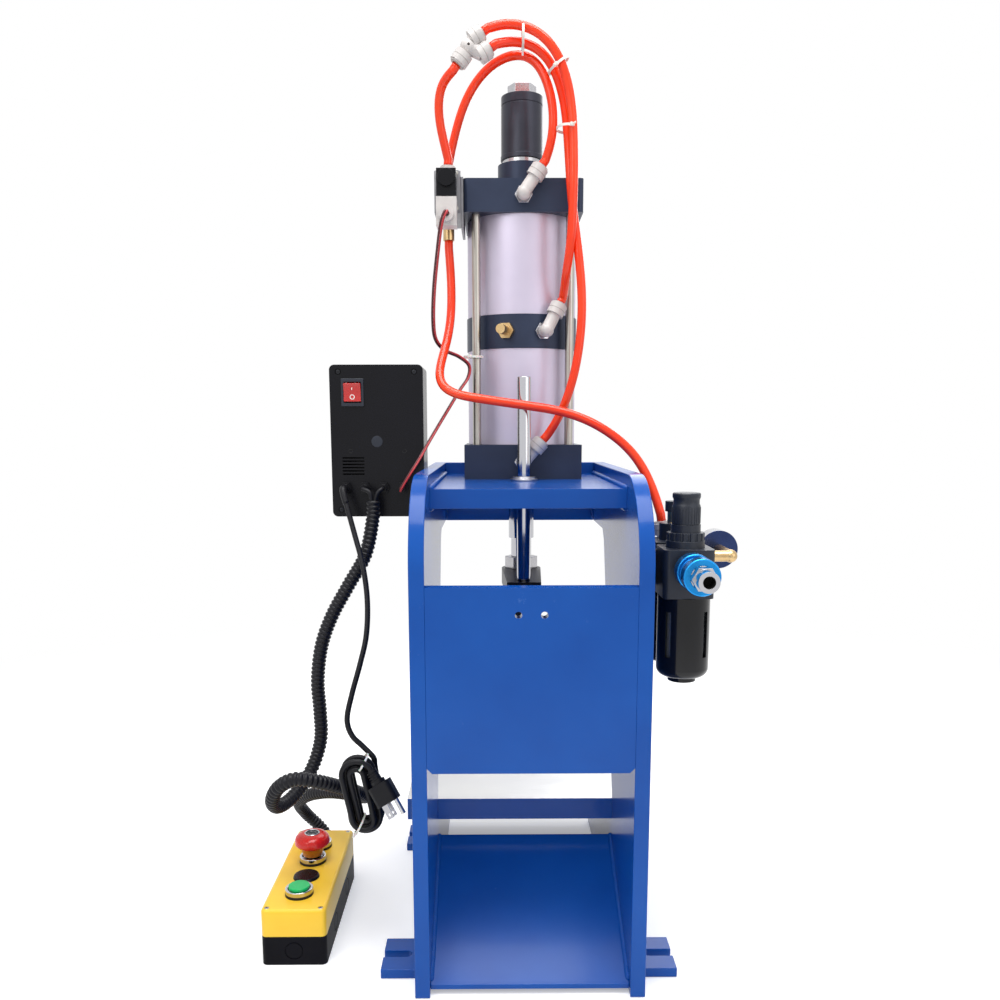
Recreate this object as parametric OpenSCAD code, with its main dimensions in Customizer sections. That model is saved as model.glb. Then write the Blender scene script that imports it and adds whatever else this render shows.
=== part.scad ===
// Pneumatic punch press: welded C-frame, double-force air cylinder, air preparation unit,
// control box and push-button station. Origin: centre of the four hold-down slots on the floor.
// +Z is up and the operator stands at +Y, so -Y is the rear, where finished pieces slide out.

/* [Frame] */
// Thickness of each side plate
plate_t = 15; // [12:1:18]
// Outside width over both side plates
frame_w = 230; // [224:1:250]
// Depth of the side plates from rear to front
frame_l = 420; // [410:1:440]
// Height of the side plates
frame_h = 517; // [510:1:530]
// Radius of the top rear corner of a side plate
rear_radius = 90; // [60:1:95]
// Distance of the head's underside below the top of the frame
head_under_drop = 78; // [72:1:87]
// Depth of the throat's back edge under the head, from the rear
throat_top_y = 281; // [270:1:290]
// Depth of the throat's back edge at the table, from the rear
throat_low_y = 165; // [150:1:180]
// Cut of the corner between head and throat, along the depth
jaw_cut_y = 16; // [10:1:20]
// Cut of the corner between head and throat, along the height
jaw_cut_z = 12; // [8:1:16]
// Height of the lower edge of the rear panel
panel_low_z = 235; // [220:1:250]
// Distance of the rear panel's upper edge below the top of the frame
panel_drop = 101; // [92:1:117]
// Cut of the lower corners of the rear panel
panel_cut = 5; // [3:1:8]
// Spacing of the two tapped holes in the rear panel
panel_hole_pitch = 24.5; // [20:0.5:40]
// Distance of the tapped holes below the rear panel's upper edge
panel_hole_drop = 26; // [16:1:46]
// Drill for an M8 thread
m8_drill = 6.8; // [6.5:0.1:7]

/* [Head plate] */
// Distance of the head plate's rear edge from the rear
head_rear_y = 90; // [80:1:95]
// Distance of the head plate's top below the top of the frame
head_drop = 15; // [11:1:22]
// Thickness of the head plate
head_t = 20; // [16:1:24]
// Hole in the head plate for the piston rod
head_rod_hole = 50; // [42:1:60]

/* [Table and feet] */
// Width of the work table
table_w = 271; // [260:1:290]
// Thickness of the work table
table_t = 25; // [20:1:30]
// Height of the top of the table
table_top_z = 141; // [135:1:150]
// Slug hole through the table under the punch
slug_hole_d = 40; // [30:1:50]
// Spacing of the die holes along X
die_pitch_x = 160; // [120:1:180]
// Spacing of the die holes along Y
die_pitch_y = 90; // [60:1:100]
// Drill for an M10 thread
m10_drill = 8.5; // [8.2:0.1:8.8]
// Length of each foot along the side plate
foot_l = 60; // [50:1:70]
// How far a foot stands out of its side plate
foot_out = 38.5; // [35:0.5:45]
// Thickness of a foot
foot_t = 10; // [8:1:14]
// Distance from the end of the frame to the middle of the nearest foot
foot_in = 64; // [50:1:80]
// Width of the hold-down slot
slot_w = 12; // [10:0.5:14]
// Depth of the hold-down slot from the open end
slot_depth = 30; // [26:0.5:32]

/* [Chute] */
// Thickness of the chute plate
chute_t = 5; // [4:1:6]
// Rear end of the chute, distance from the rear
chute_rear_y = 7; // [4:1:12]
// Height of the chute's underside at its rear end
chute_low_z = 5; // [4:1:10]
// Height of the chute's underside at its front end
chute_high_z = 89; // [80:1:95]
// Length of the chute along the depth
chute_l = 166; // [150:1:170]

/* [Cylinder] */
// Distance of the axis of punch and cylinder from the front of the frame
axis_in = 86.5; // [84:0.5:90]
// Bore of the cylinder tubes
bore_d = 125; // [120:1:126]
// Outside diameter of the cylinder tubes
tube_d = 132.5; // [131:0.5:134]
// Width of the lower cap
low_cap_w = 140; // [138:1:142]
// Height of the lower cap
low_cap_h = 41; // [36:1:45]
// Length of each cylinder tube between its seats
tube_l = 113; // [110:1:120]
// Height of the middle ring
ring_h = 39; // [36:1:42]
// Diameter of the middle ring
ring_d = 135; // [134:0.5:137]
// Width of the upper cap
top_cap_w = 138; // [136:1:140]
// Height of the upper cap
top_cap_h = 37; // [34:1:42]
// Corner radius of the upper cap
top_cap_r = 5; // [3:1:8]
// Diameter of the boss on the upper cap
boss_d = 58; // [54:1:62]
// Height of the boss on the upper cap
boss_h = 30; // [26:1:34]
// Distance of each tie rod from the punch axis along X and along Y
tie_off = 55; // [53:0.5:56]
// Diameter of the tie rods
tie_d = 10; // [8:1:11]
// Depth of the spigots on the caps and the ring
spigot_h = 6; // [4:1:8]

/* [Rod and guide] */
// Diameter of the piston rod
rod_d = 32; // [28:1:34]
// Diameter of the rod above the upper piston
top_rod_d = 25; // [22:1:26]
// Diameter of the thread at the rod's lower end
rod_thread_d = 24; // [20:1:26]
// Thickness of each piston
piston_t = 25; // [20:1:28]
// Distance of the link plate's top below the head plate's top with the ram down
link_drop = 117; // [114:1:127]
// Thickness of the link plate
link_t = 20; // [16:1:22]
// Width of the link plate at the punch axis
link_w = 50; // [46:1:56]
// Width of the link plate at the guide rod
link_end_w = 40; // [34:1:46]
// Distance between the piston rod and the guide rod
guide_off = 100.5; // [98:0.5:101]
// Diameter of the guide rod
guide_d = 16; // [12:1:18]
// Length of the guide rod above the link plate
guide_l = 236; // [220:1:260]
// Outside diameter of the guide bushing
bush_d = 28.5; // [26:0.5:32]
// Diameter of the tool holder
tool_d = 44; // [40:1:50]
// Height of the tool holder
tool_h = 40; // [36:1:46]
// Bore for the punch shank
shank_d = 16; // [12:1:20]
// Depth of the bore for the punch shank
shank_depth = 25; // [20:1:26]

/* [Stroke adjuster] */
// Diameter of the adjuster sleeve
sleeve_d = 50; // [46:1:54]
// Height of the adjuster sleeve
sleeve_h = 72; // [64:1:80]
// Height of the bumper ring under the sleeve
bumper_h = 6; // [4:1:8]
// Width across flats of the lock nut on top
lock_af = 30; // [27:1:32]
// Height of the lock nut on top
lock_h = 13; // [10:1:16]

/* [Air fittings] */
// Outside diameter of the air hose
hose_d = 10; // [8:1:10]
// Diameter of a push-in collar
collar_d = 20; // [18:1:21]
// Length of a push-in collar
collar_l = 14; // [12:1:16]
// Distance from a port's axis to the mouth of its elbow
elbow_reach = 34; // [32:1:38]

/* [Valve] */
// Width of the valve body
valve_w = 30; // [26:1:34]
// Height of the valve body
valve_h = 46; // [40:1:50]
// Length of the valve body
valve_l = 80; // [70:1:90]

/* [Air preparation] */
// Distance of the unit's axis from the side plate
unit_out = 39.5; // [35:0.5:45]
// Width of each unit body
unit_w = 50; // [44:1:52]
// Distance of the inlet axis below the top of the frame
inlet_drop = 89; // [81:1:97]
// Diameter of a bowl
bowl_d = 52; // [48:1:54]
// Height of a bowl
bowl_h = 82; // [70:1:90]
// Diameter of the regulator knob
knob_d = 27.5; // [24:0.5:30]
// Height of the regulator knob
knob_h = 31; // [26:1:36]
// Diameter of the pressure gauge
gauge_d = 40; // [36:1:44]
// Bore of the air inlet
inlet_bore_d = 11.6; // [11:0.2:12]

/* [Control box] */
// Width of the control box
box_w = 106; // [100:1:112]
// Height of the control box
box_h = 172; // [160:1:180]
// Depth of the control box with its lid
box_depth = 60; // [50:1:70]
// Wall of the control box
box_wall = 3; // [2:0.5:4]
// Thickness of the lid of the control box
box_lid_t = 4; // [3:0.5:5]
// Distance of the control box's lower edge below the top of the frame
box_drop = 55; // [47:1:67]
// Distance of the lid's outer face from the rear of the frame
box_face_y = 221; // [215:1:230]

/* [Push-button station] */
// Width of the station
station_w = 69; // [66:1:72]
// Length of the station
station_l = 198; // [190:1:206]
// Height of the black base
station_base_h = 32; // [28:1:36]
// Height of the yellow lid
station_lid_h = 30; // [26:1:34]
// Distance of the station's axis from the side plate
station_out = 133; // [129:1:141]
// Distance of the station's near end from the rear of the frame
station_near_y = 60; // [50:1:70]
// Wall of the station
station_wall = 3; // [2:0.5:3.5]
// Distance between neighbouring places for buttons
button_pitch = 38.5; // [37:0.5:40]
// Diameter of a start button
start_d = 23; // [20:1:25]
// Travel of a start button
start_travel = 4; // [3:0.5:5]
// Diameter of the stop button
stop_d = 40; // [36:1:42]
// Travel of the stop button
stop_travel = 5; // [4:0.5:6]

/* [Cables] */
// Outside diameter of the ribbed conduit
conduit_d = 15.8; // [14:0.2:16]
// Bore of the ribbed conduit
conduit_bore = 11; // [10:0.5:12]
// Number of ribs along the conduit
conduit_ribs = 180; // [100:1:200]
// Diameter of the power cord
cord_d = 6; // [6:0.5:7]
// Diameter of one wire of the valve lead
wire_d = 2.4; // [2:0.1:2.6]
// Distance between neighbouring turns of the hank
hank_pitch = 6.8; // [6.8:0.1:8]

/* [Hidden] */
$fn = 64;

// Common clearances and overruns
over = 1;
fit_gap = 0.05;
piston_gap = 0.2;
seat_gap = 0.3;
function loose(d) = d + 2 * fit_gap;
function snug(d) = d - 2 * fit_gap;
hex_sides = 6;

// Frame
rear_y = -frame_l / 2;
front_y = frame_l / 2;
side_x = frame_w / 2;
inner_w = frame_w - 2 * plate_t;
head_top_z = frame_h - head_drop;
head_under_z = frame_h - head_under_drop;
panel_top_z = frame_h - panel_drop;
panel_hole_z = panel_top_z - panel_hole_drop;
throat_rise = 6;
jaw_low_z = table_top_z - table_t;
axis_y = front_y - axis_in;
cross_rear_y = front_y - plate_t;
foot_y = front_y - foot_in;
apron_low_z = 20;
die_hole_depth = 18;

// Cylinder levels, worked upwards from the head plate
low_cap_top = head_top_z + low_cap_h;
ring_z = low_cap_top + tube_l;
ring_top = ring_z + ring_h;
top_cap_z = ring_top + tube_l;
top_cap_top = top_cap_z + top_cap_h;
boss_top = top_cap_top + boss_h;
sleeve_z = boss_top + bumper_h;
lock_z = sleeve_z + sleeve_h;
cap_rear_y = axis_y - low_cap_w / 2;
spigot_d = bore_d - 2 * fit_gap;
bushing_wall = 4;
tie_seat = 24;
tie_nut_h = 9;
tie_nut_d = 17;
tie_sink = 12;
tie_sink_d = 19;
cap_screw_off = 46;
cap_screw_d = 8;
cap_screw_head_d = 13;
cap_screw_head_h = 8;
cap_screw_bite = 16;
port_d = 13;
port_depth = 14;
port_drill_d = 8;
port_drill_in = 22;

// Ram levels with the ram down
link_top_z = head_top_z - link_drop;
piston_play = 4;
low_piston_z = low_cap_top + spigot_h + piston_play;
top_piston_z = ring_top + spigot_h + piston_play;
piston_d = bore_d - 2 * piston_gap;
seal_w = 6;
seal_deep = 4;
rod_neck_d = 26;
rod_neck_l = 24;
rod_nut_af = 36;
rod_nut_h = 15;
thread_bite = 12;
rod_end_z = link_top_z - link_t - thread_bite;
guide_y = axis_y - guide_off;
guide_spigot_d = 12;
guide_head_h = 3;
link_rear_in = 18;
bush_stand = 5;
bush_flange_d = 32;
bush_flange_t = 3;
bush_below = 4;
bumper_d = 47;
sleeve_groove_z = 61;
sleeve_groove_w = 1.4;
sleeve_groove_t = 0.8;
sleeve_skirt_h = 5;
sleeve_skirt = 1.2;
rod_top_in = 4;

// Ports: angle of the outward axis from the rear, height, roll of the outlet
port_nip_af = 18;
port_nip_h = 3.5;
port_shank_l = 8;
elbow_centre = 12;
elbow_ball_d = 16.4;
elbow_body_d = 14.5;
ring_port_yaw = 20;
ring_silencer_yaw = -16.5;
low_port_roll = 49;
ring_port_roll = 62;
top_port_roll = 55;
low_port_z = head_top_z + low_cap_h / 2;
ring_port_z = ring_z + ring_h / 2;
top_port_z = top_cap_z + top_cap_h / 2;
top_face_y = axis_y - top_cap_w / 2;
release_d = 17;
release_t = 1.5;

// Valve beside the upper cap
bracket_t = 3;
valve_face_x = -top_cap_w / 2 - bracket_t;
valve_x = valve_face_x - valve_w / 2;
valve_behind = 71.5;
valve_below = 2;
valve_rear_y = axis_y - valve_behind;
valve_low_z = top_cap_z - valve_below;
valve_top_z = valve_low_z + valve_h;
valve_cap_t = 5;
valve_cap_r = 3;
valve_out_front = 12;
valve_out_back = 44;
valve_in = 23;
valve_exhaust = 42;
valve_out_front_y = valve_rear_y + valve_out_front;
valve_out_rear_y = valve_rear_y + valve_out_back;
valve_in_y = valve_rear_y + valve_in;
valve_exhaust_y = valve_rear_y + valve_exhaust;
coil_w = 22;
coil_h = 30;
coil_l = 27;
coil_up = 11;
coil_z = valve_low_z + coil_up;
coil_nut_up = 19.5;
coil_nut_d = 19;
coil_nut_t = 4;
conn_w = 23;
conn_h = 31;
conn_l = 22;
conn_ring_d = 17;
conn_ring_t = 5;
conn_ring_down = 19;
conn_ring_z = coil_z - conn_ring_down;
conn_bore_d = 7.2;
inlet_fit_d = 13;
inlet_fit_l = 26;
exhaust_d = 9;
exhaust_l = 20;

// Hose splitter in the loop above the valve
split_off = [26, -97.5, 97.5];
split_pos = [valve_x, axis_y, boss_top] + split_off;
split_in_angle = 233;
split_in_l = 21.5;
split_out_angle = 33;
split_up_off = [2.6, 7.2];
split_low_off = [11, -8.8];
split_ball_d = 19;
split_bar_d = 15;
split_bar_in = 4.2;
split_hole_d = 3;

// Air unit: filter-regulator, spacer bracket, lubricator
unit_x = side_x + unit_out;
inlet_z = frame_h - inlet_drop;
unit_below = 30;
unit_rear_in = 36;
spacer_l = 13;
filter_y = rear_y + unit_rear_in + unit_w / 2;
lub_y = filter_y + unit_w + spacer_l;
unit_body_low_z = inlet_z - unit_below;
unit_body_h = 48;
unit_corner = 6;
neck_d = 38;
neck_h = 7;
knurl_d = 37;
knurl_h = 8;
lock_ring_d = 29;
lock_ring_h = 8;
knob_z = unit_body_low_z + unit_body_h + neck_h + knurl_h + lock_ring_h;
knob_waist = 1;
knob_waist_shares = [0.58, 0.66, 0.78, 0.86];
knob_post_d = 12;
knob_post_h = 20;
bowl_wall = 2.5;
bowl_round = 9;
slit_w = 6;
slit_h = 46;
slit_z = 22;
drain_d = 28;
drain_h = 5;
drain_tip_d = 5;
drain_tip_h = 3;
lub_neck_d = 30;
lub_neck_h = 18;
lub_glass_d = 13;
lub_glass_h = 12;
lub_knob_d = 18;
lub_knob_h = 11;
gauge_out = 45.5;
gauge_up = 9;
gauge_ahead = 49;
gauge_x = unit_x + gauge_out;
gauge_z = inlet_z + gauge_up;
gauge_back_y = filter_y + gauge_ahead;
gauge_depth = 22;
gauge_recess = 6;
gauge_rim = 2.5;
needle_l = 13;
needle_w = 1.6;
needle_t = 0.8;
needle_hub_d = 5;
needle_hub_h = 2.4;
needle_lift = 1;
gauge_elbow_d = 11;
barrel_d = 22;
sleeve_flange_d = 35;
sleeve_flange_l = 14;
slide_sleeve_d = 27;
slide_sleeve_l = 45;
nozzle_hex_af = 21;
nozzle_hex_l = 11;
nozzle_d = 19.5;
nozzle_l = 16;
inlet_depth = 15;

// Control box on the left side plate
box_x = -side_x - box_w / 2;
box_low_z = frame_h - box_drop;
box_y = rear_y + box_face_y;
box_corner = 6;
rocker_left = 27;
rocker_up = 141;
rocker_x = box_x - rocker_left;
rocker_z = box_low_z + rocker_up;
rocker_w = 19.4;
rocker_h = 22.4;
rocker_deep = 10;
rocker_swing = 8;
bezel_w = 25.5;
bezel_h = 31;
bezel_t = 2;
bezel_wall = 2.6;
gland_up = 33;
gland_left = 37;
gland_z = box_low_z + gland_up;
gland_x = box_x - gland_left;
gland_pitch = 21.7;
gland_count = 4;
gland_nut_d = 12.5;
gland_nut_l = 6;
gland_tip_d = 9;
gland_tip_l = 14;
louvre_left = 28;
louvre_up = 48;
louvre_x = box_x - louvre_left;
louvre_z = box_low_z + louvre_up;
louvre_w = 25;
louvre_h = 1.6;
louvre_pitch = 3.7;
louvre_count = 6;
box_screw_in_x = 10;
box_screw_in_z = 8;
box_screw_d = 7;
box_screw_sink = 2;

// Station on the floor
station_x = side_x + station_out;
station_y = rear_y + station_near_y;
station_mid_y = station_y + station_l / 2;
station_top_z = station_base_h + station_lid_h;
station_corner = 6;
station_round = 3;
station_ease = 0.9;
button_first = 35;
button_hole_d = 22;
bezel_d = 30;
bezel_up = 8;
bezel_bore = 24;
start_up = 10.5;
start_stem_d = 18;
start_stem_l = 16;
stop_stem_d = 20;
stop_cap_h = 15;
stop_cap_z = 20;
stop_cap_cut = 3;
stop_cap_shares = [[1, 0.5], [0.95, 0.72], [0.8, 0.9], [0.6, 1]];
plug_d = 30;
plug_up = 3;
knock_d = 19.5;
knock_in = 1;
knock_w = 1;
station_knock_off = 39.6;
station_port_z = 19;
station_port_d = 13;
station_gland_l = 10;
station_gland_d = 19;

// Points along the routes, measured from what carries them: along the cylinder they are
// measured from the cylinder's foot, and near their lower ends from the air unit or the box.
// Cord and conduit hang beside the side plate, and their heights keep pace with the glands.
hose_loop_points = [
  [-94, -67.5, 393], [-97, -75.5, 420], [-92, -85.5, 441]
];
middle_hose_points = [
  [-24, -101.5, 494], [4, -103.5, 490], [28, -105.5, 473], [43, -105.5, 446], [51, -104.5, 413],
  [54, -103.5, 368], [54, -103.5, 313], [52, -97.5, 263], [47, -83.5, 228]
];
lower_hose_points = [
  [-20, -92.5, 479], [4, -90.5, 479], [25, -90.5, 465], [38, -89.5, 441], [46, -87.5, 410],
  [50, -85.5, 366], [54, -87.5, 313], [62, -93.5, 253], [66, -95.5, 203], [64, -95.5, 158],
  [56, -93.5, 113], [42, -87.5, 74]
];
upper_hose_points = [
  [-80, -31.5, 398], [-68, -39.5, 433], [-48, -53.5, 459], [-23, -67.5, 472], [2, -78.5, 472],
  [18, -85.5, 456], [29, -89.5, 428], [33, -90.5, 398], [30, -87.5, 372]
];
supply_hose_points = [
  [-85, -51.5, 243], [-84, -63.5, 198], [-88, -79.5, 163], [-95, -97.5, 136], [-98, -113.5, 114],
  [-88, -124.5, 101], [-62, -130.5, 95], [-28, -133.5, 90], [5, -135.5, 85], [38, -138.5, 80],
  [71, -143.5, 69]
];
supply_drop_points = [
  [-50.5, 59, 122], [-28.5, 53, 98], [-14.5, 46, 68]
];
lead_points = [
  [-92, -117.5, 283], [-97, -109.5, 253], [-102, -97.5, 216], [-104, -87.5, 183],
  [-102, -79.5, 163], [-92, -73.5, 151], [-76, -69.5, 144], [-64, -67.5, 134], [-65, -69.5, 120]
];
lead_drop_points = [
  [93, 34, 111], [73, 15, 77], [60, -2, 54], [49, -15, 34], [38, -24, 16]
];
cord_points = [
  [-89, 194, 490], [-84, 188, 474], [-75, 178, 445], [-65, 164, 413], [-59, 150, 377],
  [-59, 136, 341], [-65, 124, 311], [-73, 115, 281], [-78, 109, 255], [-73, 106, 238],
  [-61, 104, 226]
];
conduit_points = [
  [-56, 196, 482], [-57, 194, 460], [-65, 186, 422], [-84, 180, 388], [-103, 178, 354],
  [-116, 178, 319], [-122, 180, 278], [-121, 182, 242], [-121, 183, 211], [-127, 179, 185],
  [-137, 165, 164], [-150, 146, 150], [-160, 126, 149], [-161, 106, 164], [-151, 93, 184],
  [-133, 89, 195], [-111, 94, 191], [-90, 111, 178], [-74, 139, 160], [-70, 170, 142],
  [-88, 205, 130], [-122, 235, 121], [-153, 260, 107], [-172, 286, 86], [-169, 310, 61],
  [-152, 315, 40], [-138, 305, 26]
];
hang_h = 495;
function by_cylinder(points) = [for (p = points) p + [0, axis_y, head_top_z]];
function by_unit(points) = [for (p = points) p + [unit_x, lub_y, inlet_z]];
function by_box(points) = [for (p = points) p + [box_x, box_y, gland_z]];
function hung(points) = [
  for (p = points) [p.x - side_x, p.y + rear_y, p.z * gland_z / hang_h]
];

// Hank of spare cord
hank_pos = hung([[-61, 100, 181]])[0];
hank_tilt = 9;
hank_run = 48;
hank_r = 16.5;
hank_layer = 6.8;
hank_layers = 4;
hank_turns_in = 1.5;
hank_turns = hank_layers * hank_turns_in;
hank_steps = 24;
hank_end_short = 0.05;

// Plug on the end of the cord
plug_relief_l = 12;
plug_relief_d = 11;
plug_neck_l = 4;
plug_neck_d = 15;
plug_body_l = 22;
plug_lean = 31;
plug_forward = 14;
plug_tail = 3;
plug_body_w = 24;
plug_body_t = 21;
plug_corner = 5;
blade_w = 6.4;
blade_t = 1.5;
blade_l = 15;
blade_gap = 12.7;
blade_in = 4;
blade_hole_up = 11;
earth_pin_d = 4.8;
earth_pin_l = 17;
earth_pin_off = 7.8;

// Smooth curves and swept tubes
function unit(v) = v / norm(v);
function span_point(p, i, t) =
  let (a = p[max(i - 1, 0)], b = p[i], c = p[i + 1], d = p[min(i + 2, len(p) - 1)])
  0.5 * (2 * b + (c - a) * t + (2 * a - 5 * b + 4 * c - d) * t * t
    + (3 * b - a - 3 * c + d) * t * t * t);
function spline(p, n) = concat(
  [for (i = [0 : len(p) - 2]) for (j = [0 : n - 1]) span_point(p, i, j / n)],
  [p[len(p) - 1]]
);
function tangents(s) = [
  for (i = [0 : len(s) - 1])
    unit(s[min(i + 1, len(s) - 1)] - s[max(i - 1, 0)])
];
function ended(t, first, last) = [
  for (i = [0 : len(t) - 1]) i == 0 ? first : i == len(t) - 1 ? last : t[i]
];
function first_normal(t) = unit(cross(t, abs(t.y) < 0.9 ? [0, 1, 0] : [0, 0, 1]));
function normals(t) = [
  for (i = 0, n = first_normal(t[0]); i < len(t);
    i = i + 1, n = i < len(t) ? unit(n - (n * t[i]) * t[i]) : n) n
];
function ring_points(c, t, n, r, sides) = [
  for (j = [0 : sides - 1])
    let (a = 360 * j / sides) c + r * (cos(a) * n + sin(a) * cross(t, n))
];
function side_faces(first, rings, sides, flip) = [
  for (i = [0 : rings - 2]) for (j = [0 : sides - 1])
    let (
      k = (j + 1) % sides,
      a = first + i * sides + j, b = first + i * sides + k,
      c = first + (i + 1) * sides + k, d = first + (i + 1) * sides + j
    )
    each flip ? [[a, b, c], [a, c, d]] : [[a, c, b], [a, d, c]]
];
function cap_faces(first, sides, flip) = [
  for (j = [1 : sides - 2])
    flip ? [first, first + j + 1, first + j] : [first, first + j, first + j + 1]
];

// Solid tube of radius r along the samples s, whose ends face along the directions given
module swept(s, first, last, r, sides) {
  t = ended(tangents(s), first, last);
  n = normals(t);
  pts = [for (i = [0 : len(s) - 1]) each ring_points(s[i], t[i], n[i], r, sides)];
  polyhedron(
    points = pts,
    faces = concat(
      side_faces(0, len(s), sides, false),
      cap_faces(0, sides, false),
      cap_faces((len(s) - 1) * sides, sides, true)
    )
  );
}

// A hose between two fittings: straight out of each mouth, then through the points given
module hose(from, from_dir, points, to, to_dir, d, steps, sides) {
  lead = 1.4 * d;
  p = concat([from, from + lead * from_dir], points, [to + lead * to_dir, to]);
  swept(spline(p, steps), from_dir, -to_dir, d / 2, sides);
}

module hex_bar(af, h) {
  cylinder(d = 2 * af / sqrt(3), h = h, $fn = hex_sides);
}

// Cut for a round hole through a thickness h, which runs past both faces
module drill(d, h) {
  translate([0, 0, -over])
    cylinder(d = d, h = h + 2 * over);
}

module ring_bar(d, bore, h) {
  difference() {
    cylinder(d = d, h = h);
    drill(bore, h);
  }
}

module rounded_rect(w, l, r) {
  square([w - 2 * r, l], center = true);
  square([w, l - 2 * r], center = true);
  for (x = [-1, 1], y = [-1, 1])
    translate([x * (w / 2 - r), y * (l / 2 - r)])
      circle(r = r);
}

module at_axis(z) {
  translate([0, axis_y, z])
    children();
}

module four_around(off) {
  for (x = [-1, 1], y = [-1, 1])
    translate([x * off, y * off, 0])
      children();
}

// A bar whose axis lies along X, from its left end
module along_x() {
  rotate([0, 90, 0])
    children();
}

// A bar whose axis lies along Y, from its rear end
module along_y() {
  rotate([-90, 0, 0])
    children();
}

// Frame

module side_outline() {
  head_z = frame_h - rear_radius;
  polygon([
    [0, 0], [frame_l, 0], [frame_l, jaw_low_z], [throat_low_y, jaw_low_z],
    [throat_low_y, table_top_z + throat_rise], [throat_top_y, head_under_z - jaw_cut_z],
    [throat_top_y + jaw_cut_y, head_under_z], [frame_l, head_under_z],
    [frame_l, frame_h], [rear_radius, frame_h], [0, head_z]
  ]);
  translate([rear_radius, head_z])
    circle(r = rear_radius);
}

module side_plates() {
  color("royalblue")
    for (x = [-side_x, side_x - plate_t])
      translate([x, rear_y, 0])
        rotate([90, 0, 90])
          linear_extrude(plate_t)
            side_outline();
}

module rear_panel() {
  h = panel_top_z - panel_low_z;
  w = inner_w / 2;
  color("royalblue")
    difference() {
      translate([0, rear_y + plate_t, panel_low_z])
        rotate([90, 0, 0])
          linear_extrude(plate_t)
            polygon([
              [-w + panel_cut, 0], [w - panel_cut, 0], [w, panel_cut], [w, h],
              [-w, h], [-w, panel_cut]
            ]);
      for (x = [-1, 1])
        translate([x * panel_hole_pitch / 2, rear_y, panel_hole_z])
          along_y()
            drill(m8_drill, plate_t);
    }
}

module head_plate() {
  l = frame_l - plate_t - head_rear_y;
  color("royalblue")
    difference() {
      translate([-inner_w / 2, rear_y + head_rear_y, head_top_z - head_t])
        cube([inner_w, l, head_t]);
      at_axis(head_top_z - head_t)
        drill(head_rod_hole, head_t);
      at_axis(head_top_z - head_t)
        four_around(cap_screw_off)
          drill(cap_screw_d + 2 * seat_gap, head_t);
      translate([0, guide_y, head_top_z - head_t])
        drill(loose(bush_d), head_t);
    }
}

module front_cross_plates() {
  color("royalblue")
    for (span = [[head_under_z, frame_h], [apron_low_z, jaw_low_z]])
      translate([-inner_w / 2, cross_rear_y, span[0]])
        cube([inner_w, plate_t, span[1] - span[0]]);
}

module work_table() {
  color("lightsteelblue")
    difference() {
      translate([-table_w / 2, rear_y + throat_low_y, jaw_low_z])
        cube([table_w, frame_l - throat_low_y, table_t]);
      for (x = [-1, 1], y = [-1, 1])
        translate([
          x * die_pitch_x / 2, axis_y + y * die_pitch_y / 2,
          table_top_z - die_hole_depth
        ])
          cylinder(d = m10_drill, h = die_hole_depth + over);
      at_axis(jaw_low_z)
        drill(slug_hole_d, table_t);
    }
}

module discharge_chute() {
  y = rear_y + chute_rear_y;
  color("royalblue")
    translate([-inner_w / 2, 0, 0])
      rotate([90, 0, 90])
        linear_extrude(inner_w)
          polygon([
            [y, chute_low_z], [y + chute_l, chute_high_z],
            [y + chute_l, chute_high_z + chute_t], [y, chute_low_z + chute_t]
          ]);
}

module foot() {
  difference() {
    translate([frame_w / 2, -foot_l / 2, 0])
      cube([foot_out, foot_l, foot_t]);
    translate([frame_w / 2 + foot_out - slot_depth + slot_w / 2, 0, -over]) {
      cylinder(d = slot_w, h = foot_t + 2 * over);
      translate([0, -slot_w / 2, 0])
        cube([slot_depth, slot_w, foot_t + 2 * over]);
    }
  }
}

module mounting_feet() {
  color("royalblue")
    for (x = [0, 1], y = [-1, 1])
      mirror([x, 0, 0])
        translate([0, y * foot_y, 0])
          foot();
}

// Cylinder

module port_drilling(depth) {
  along_y() {
    translate([0, 0, -over])
      cylinder(d = loose(port_d), h = port_depth + over);
    cylinder(d = port_drill_d, h = depth);
  }
}

module lower_cap() {
  color("darkslategray")
    difference() {
      union() {
        translate([-low_cap_w / 2, axis_y - low_cap_w / 2, head_top_z])
          cube([low_cap_w, low_cap_w, low_cap_h]);
        at_axis(low_cap_top - over)
          cylinder(d = spigot_d, h = spigot_h + over);
      }
      at_axis(head_top_z)
        drill(loose(rod_d + 2 * bushing_wall), low_cap_h + spigot_h);
      at_axis(low_cap_top - tie_seat)
        four_around(tie_off)
          cylinder(d = loose(tie_d), h = tie_seat + over);
      at_axis(head_top_z - over)
        four_around(cap_screw_off)
          cylinder(d = loose(cap_screw_d), h = cap_screw_bite + 3 * over);
      translate([0, cap_rear_y, low_port_z])
        port_drilling(port_drill_in + port_drill_d / 2);
      translate([0, cap_rear_y + port_drill_in, low_port_z])
        cylinder(d = port_drill_d, h = low_cap_h + spigot_h);
    }
}

module cylinder_tubes() {
  color("gainsboro")
    for (z = [low_cap_top, ring_top])
      at_axis(z)
        ring_bar(tube_d, bore_d, tube_l);
}

module middle_ring() {
  color("darkslategray")
    difference() {
      at_axis(ring_z) {
        cylinder(d = ring_d, h = ring_h);
        translate([0, 0, -spigot_h])
          cylinder(d = spigot_d, h = ring_h + 2 * spigot_h);
      }
      at_axis(ring_z - spigot_h)
        drill(loose(rod_d + 2 * bushing_wall), ring_h + 2 * spigot_h);
      for (yaw = [ring_port_yaw, ring_silencer_yaw])
        at_axis(ring_port_z)
          rotate([0, 0, yaw])
            translate([0, -ring_d / 2, 0])
              port_drilling(port_drill_in);
    }
}

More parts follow.
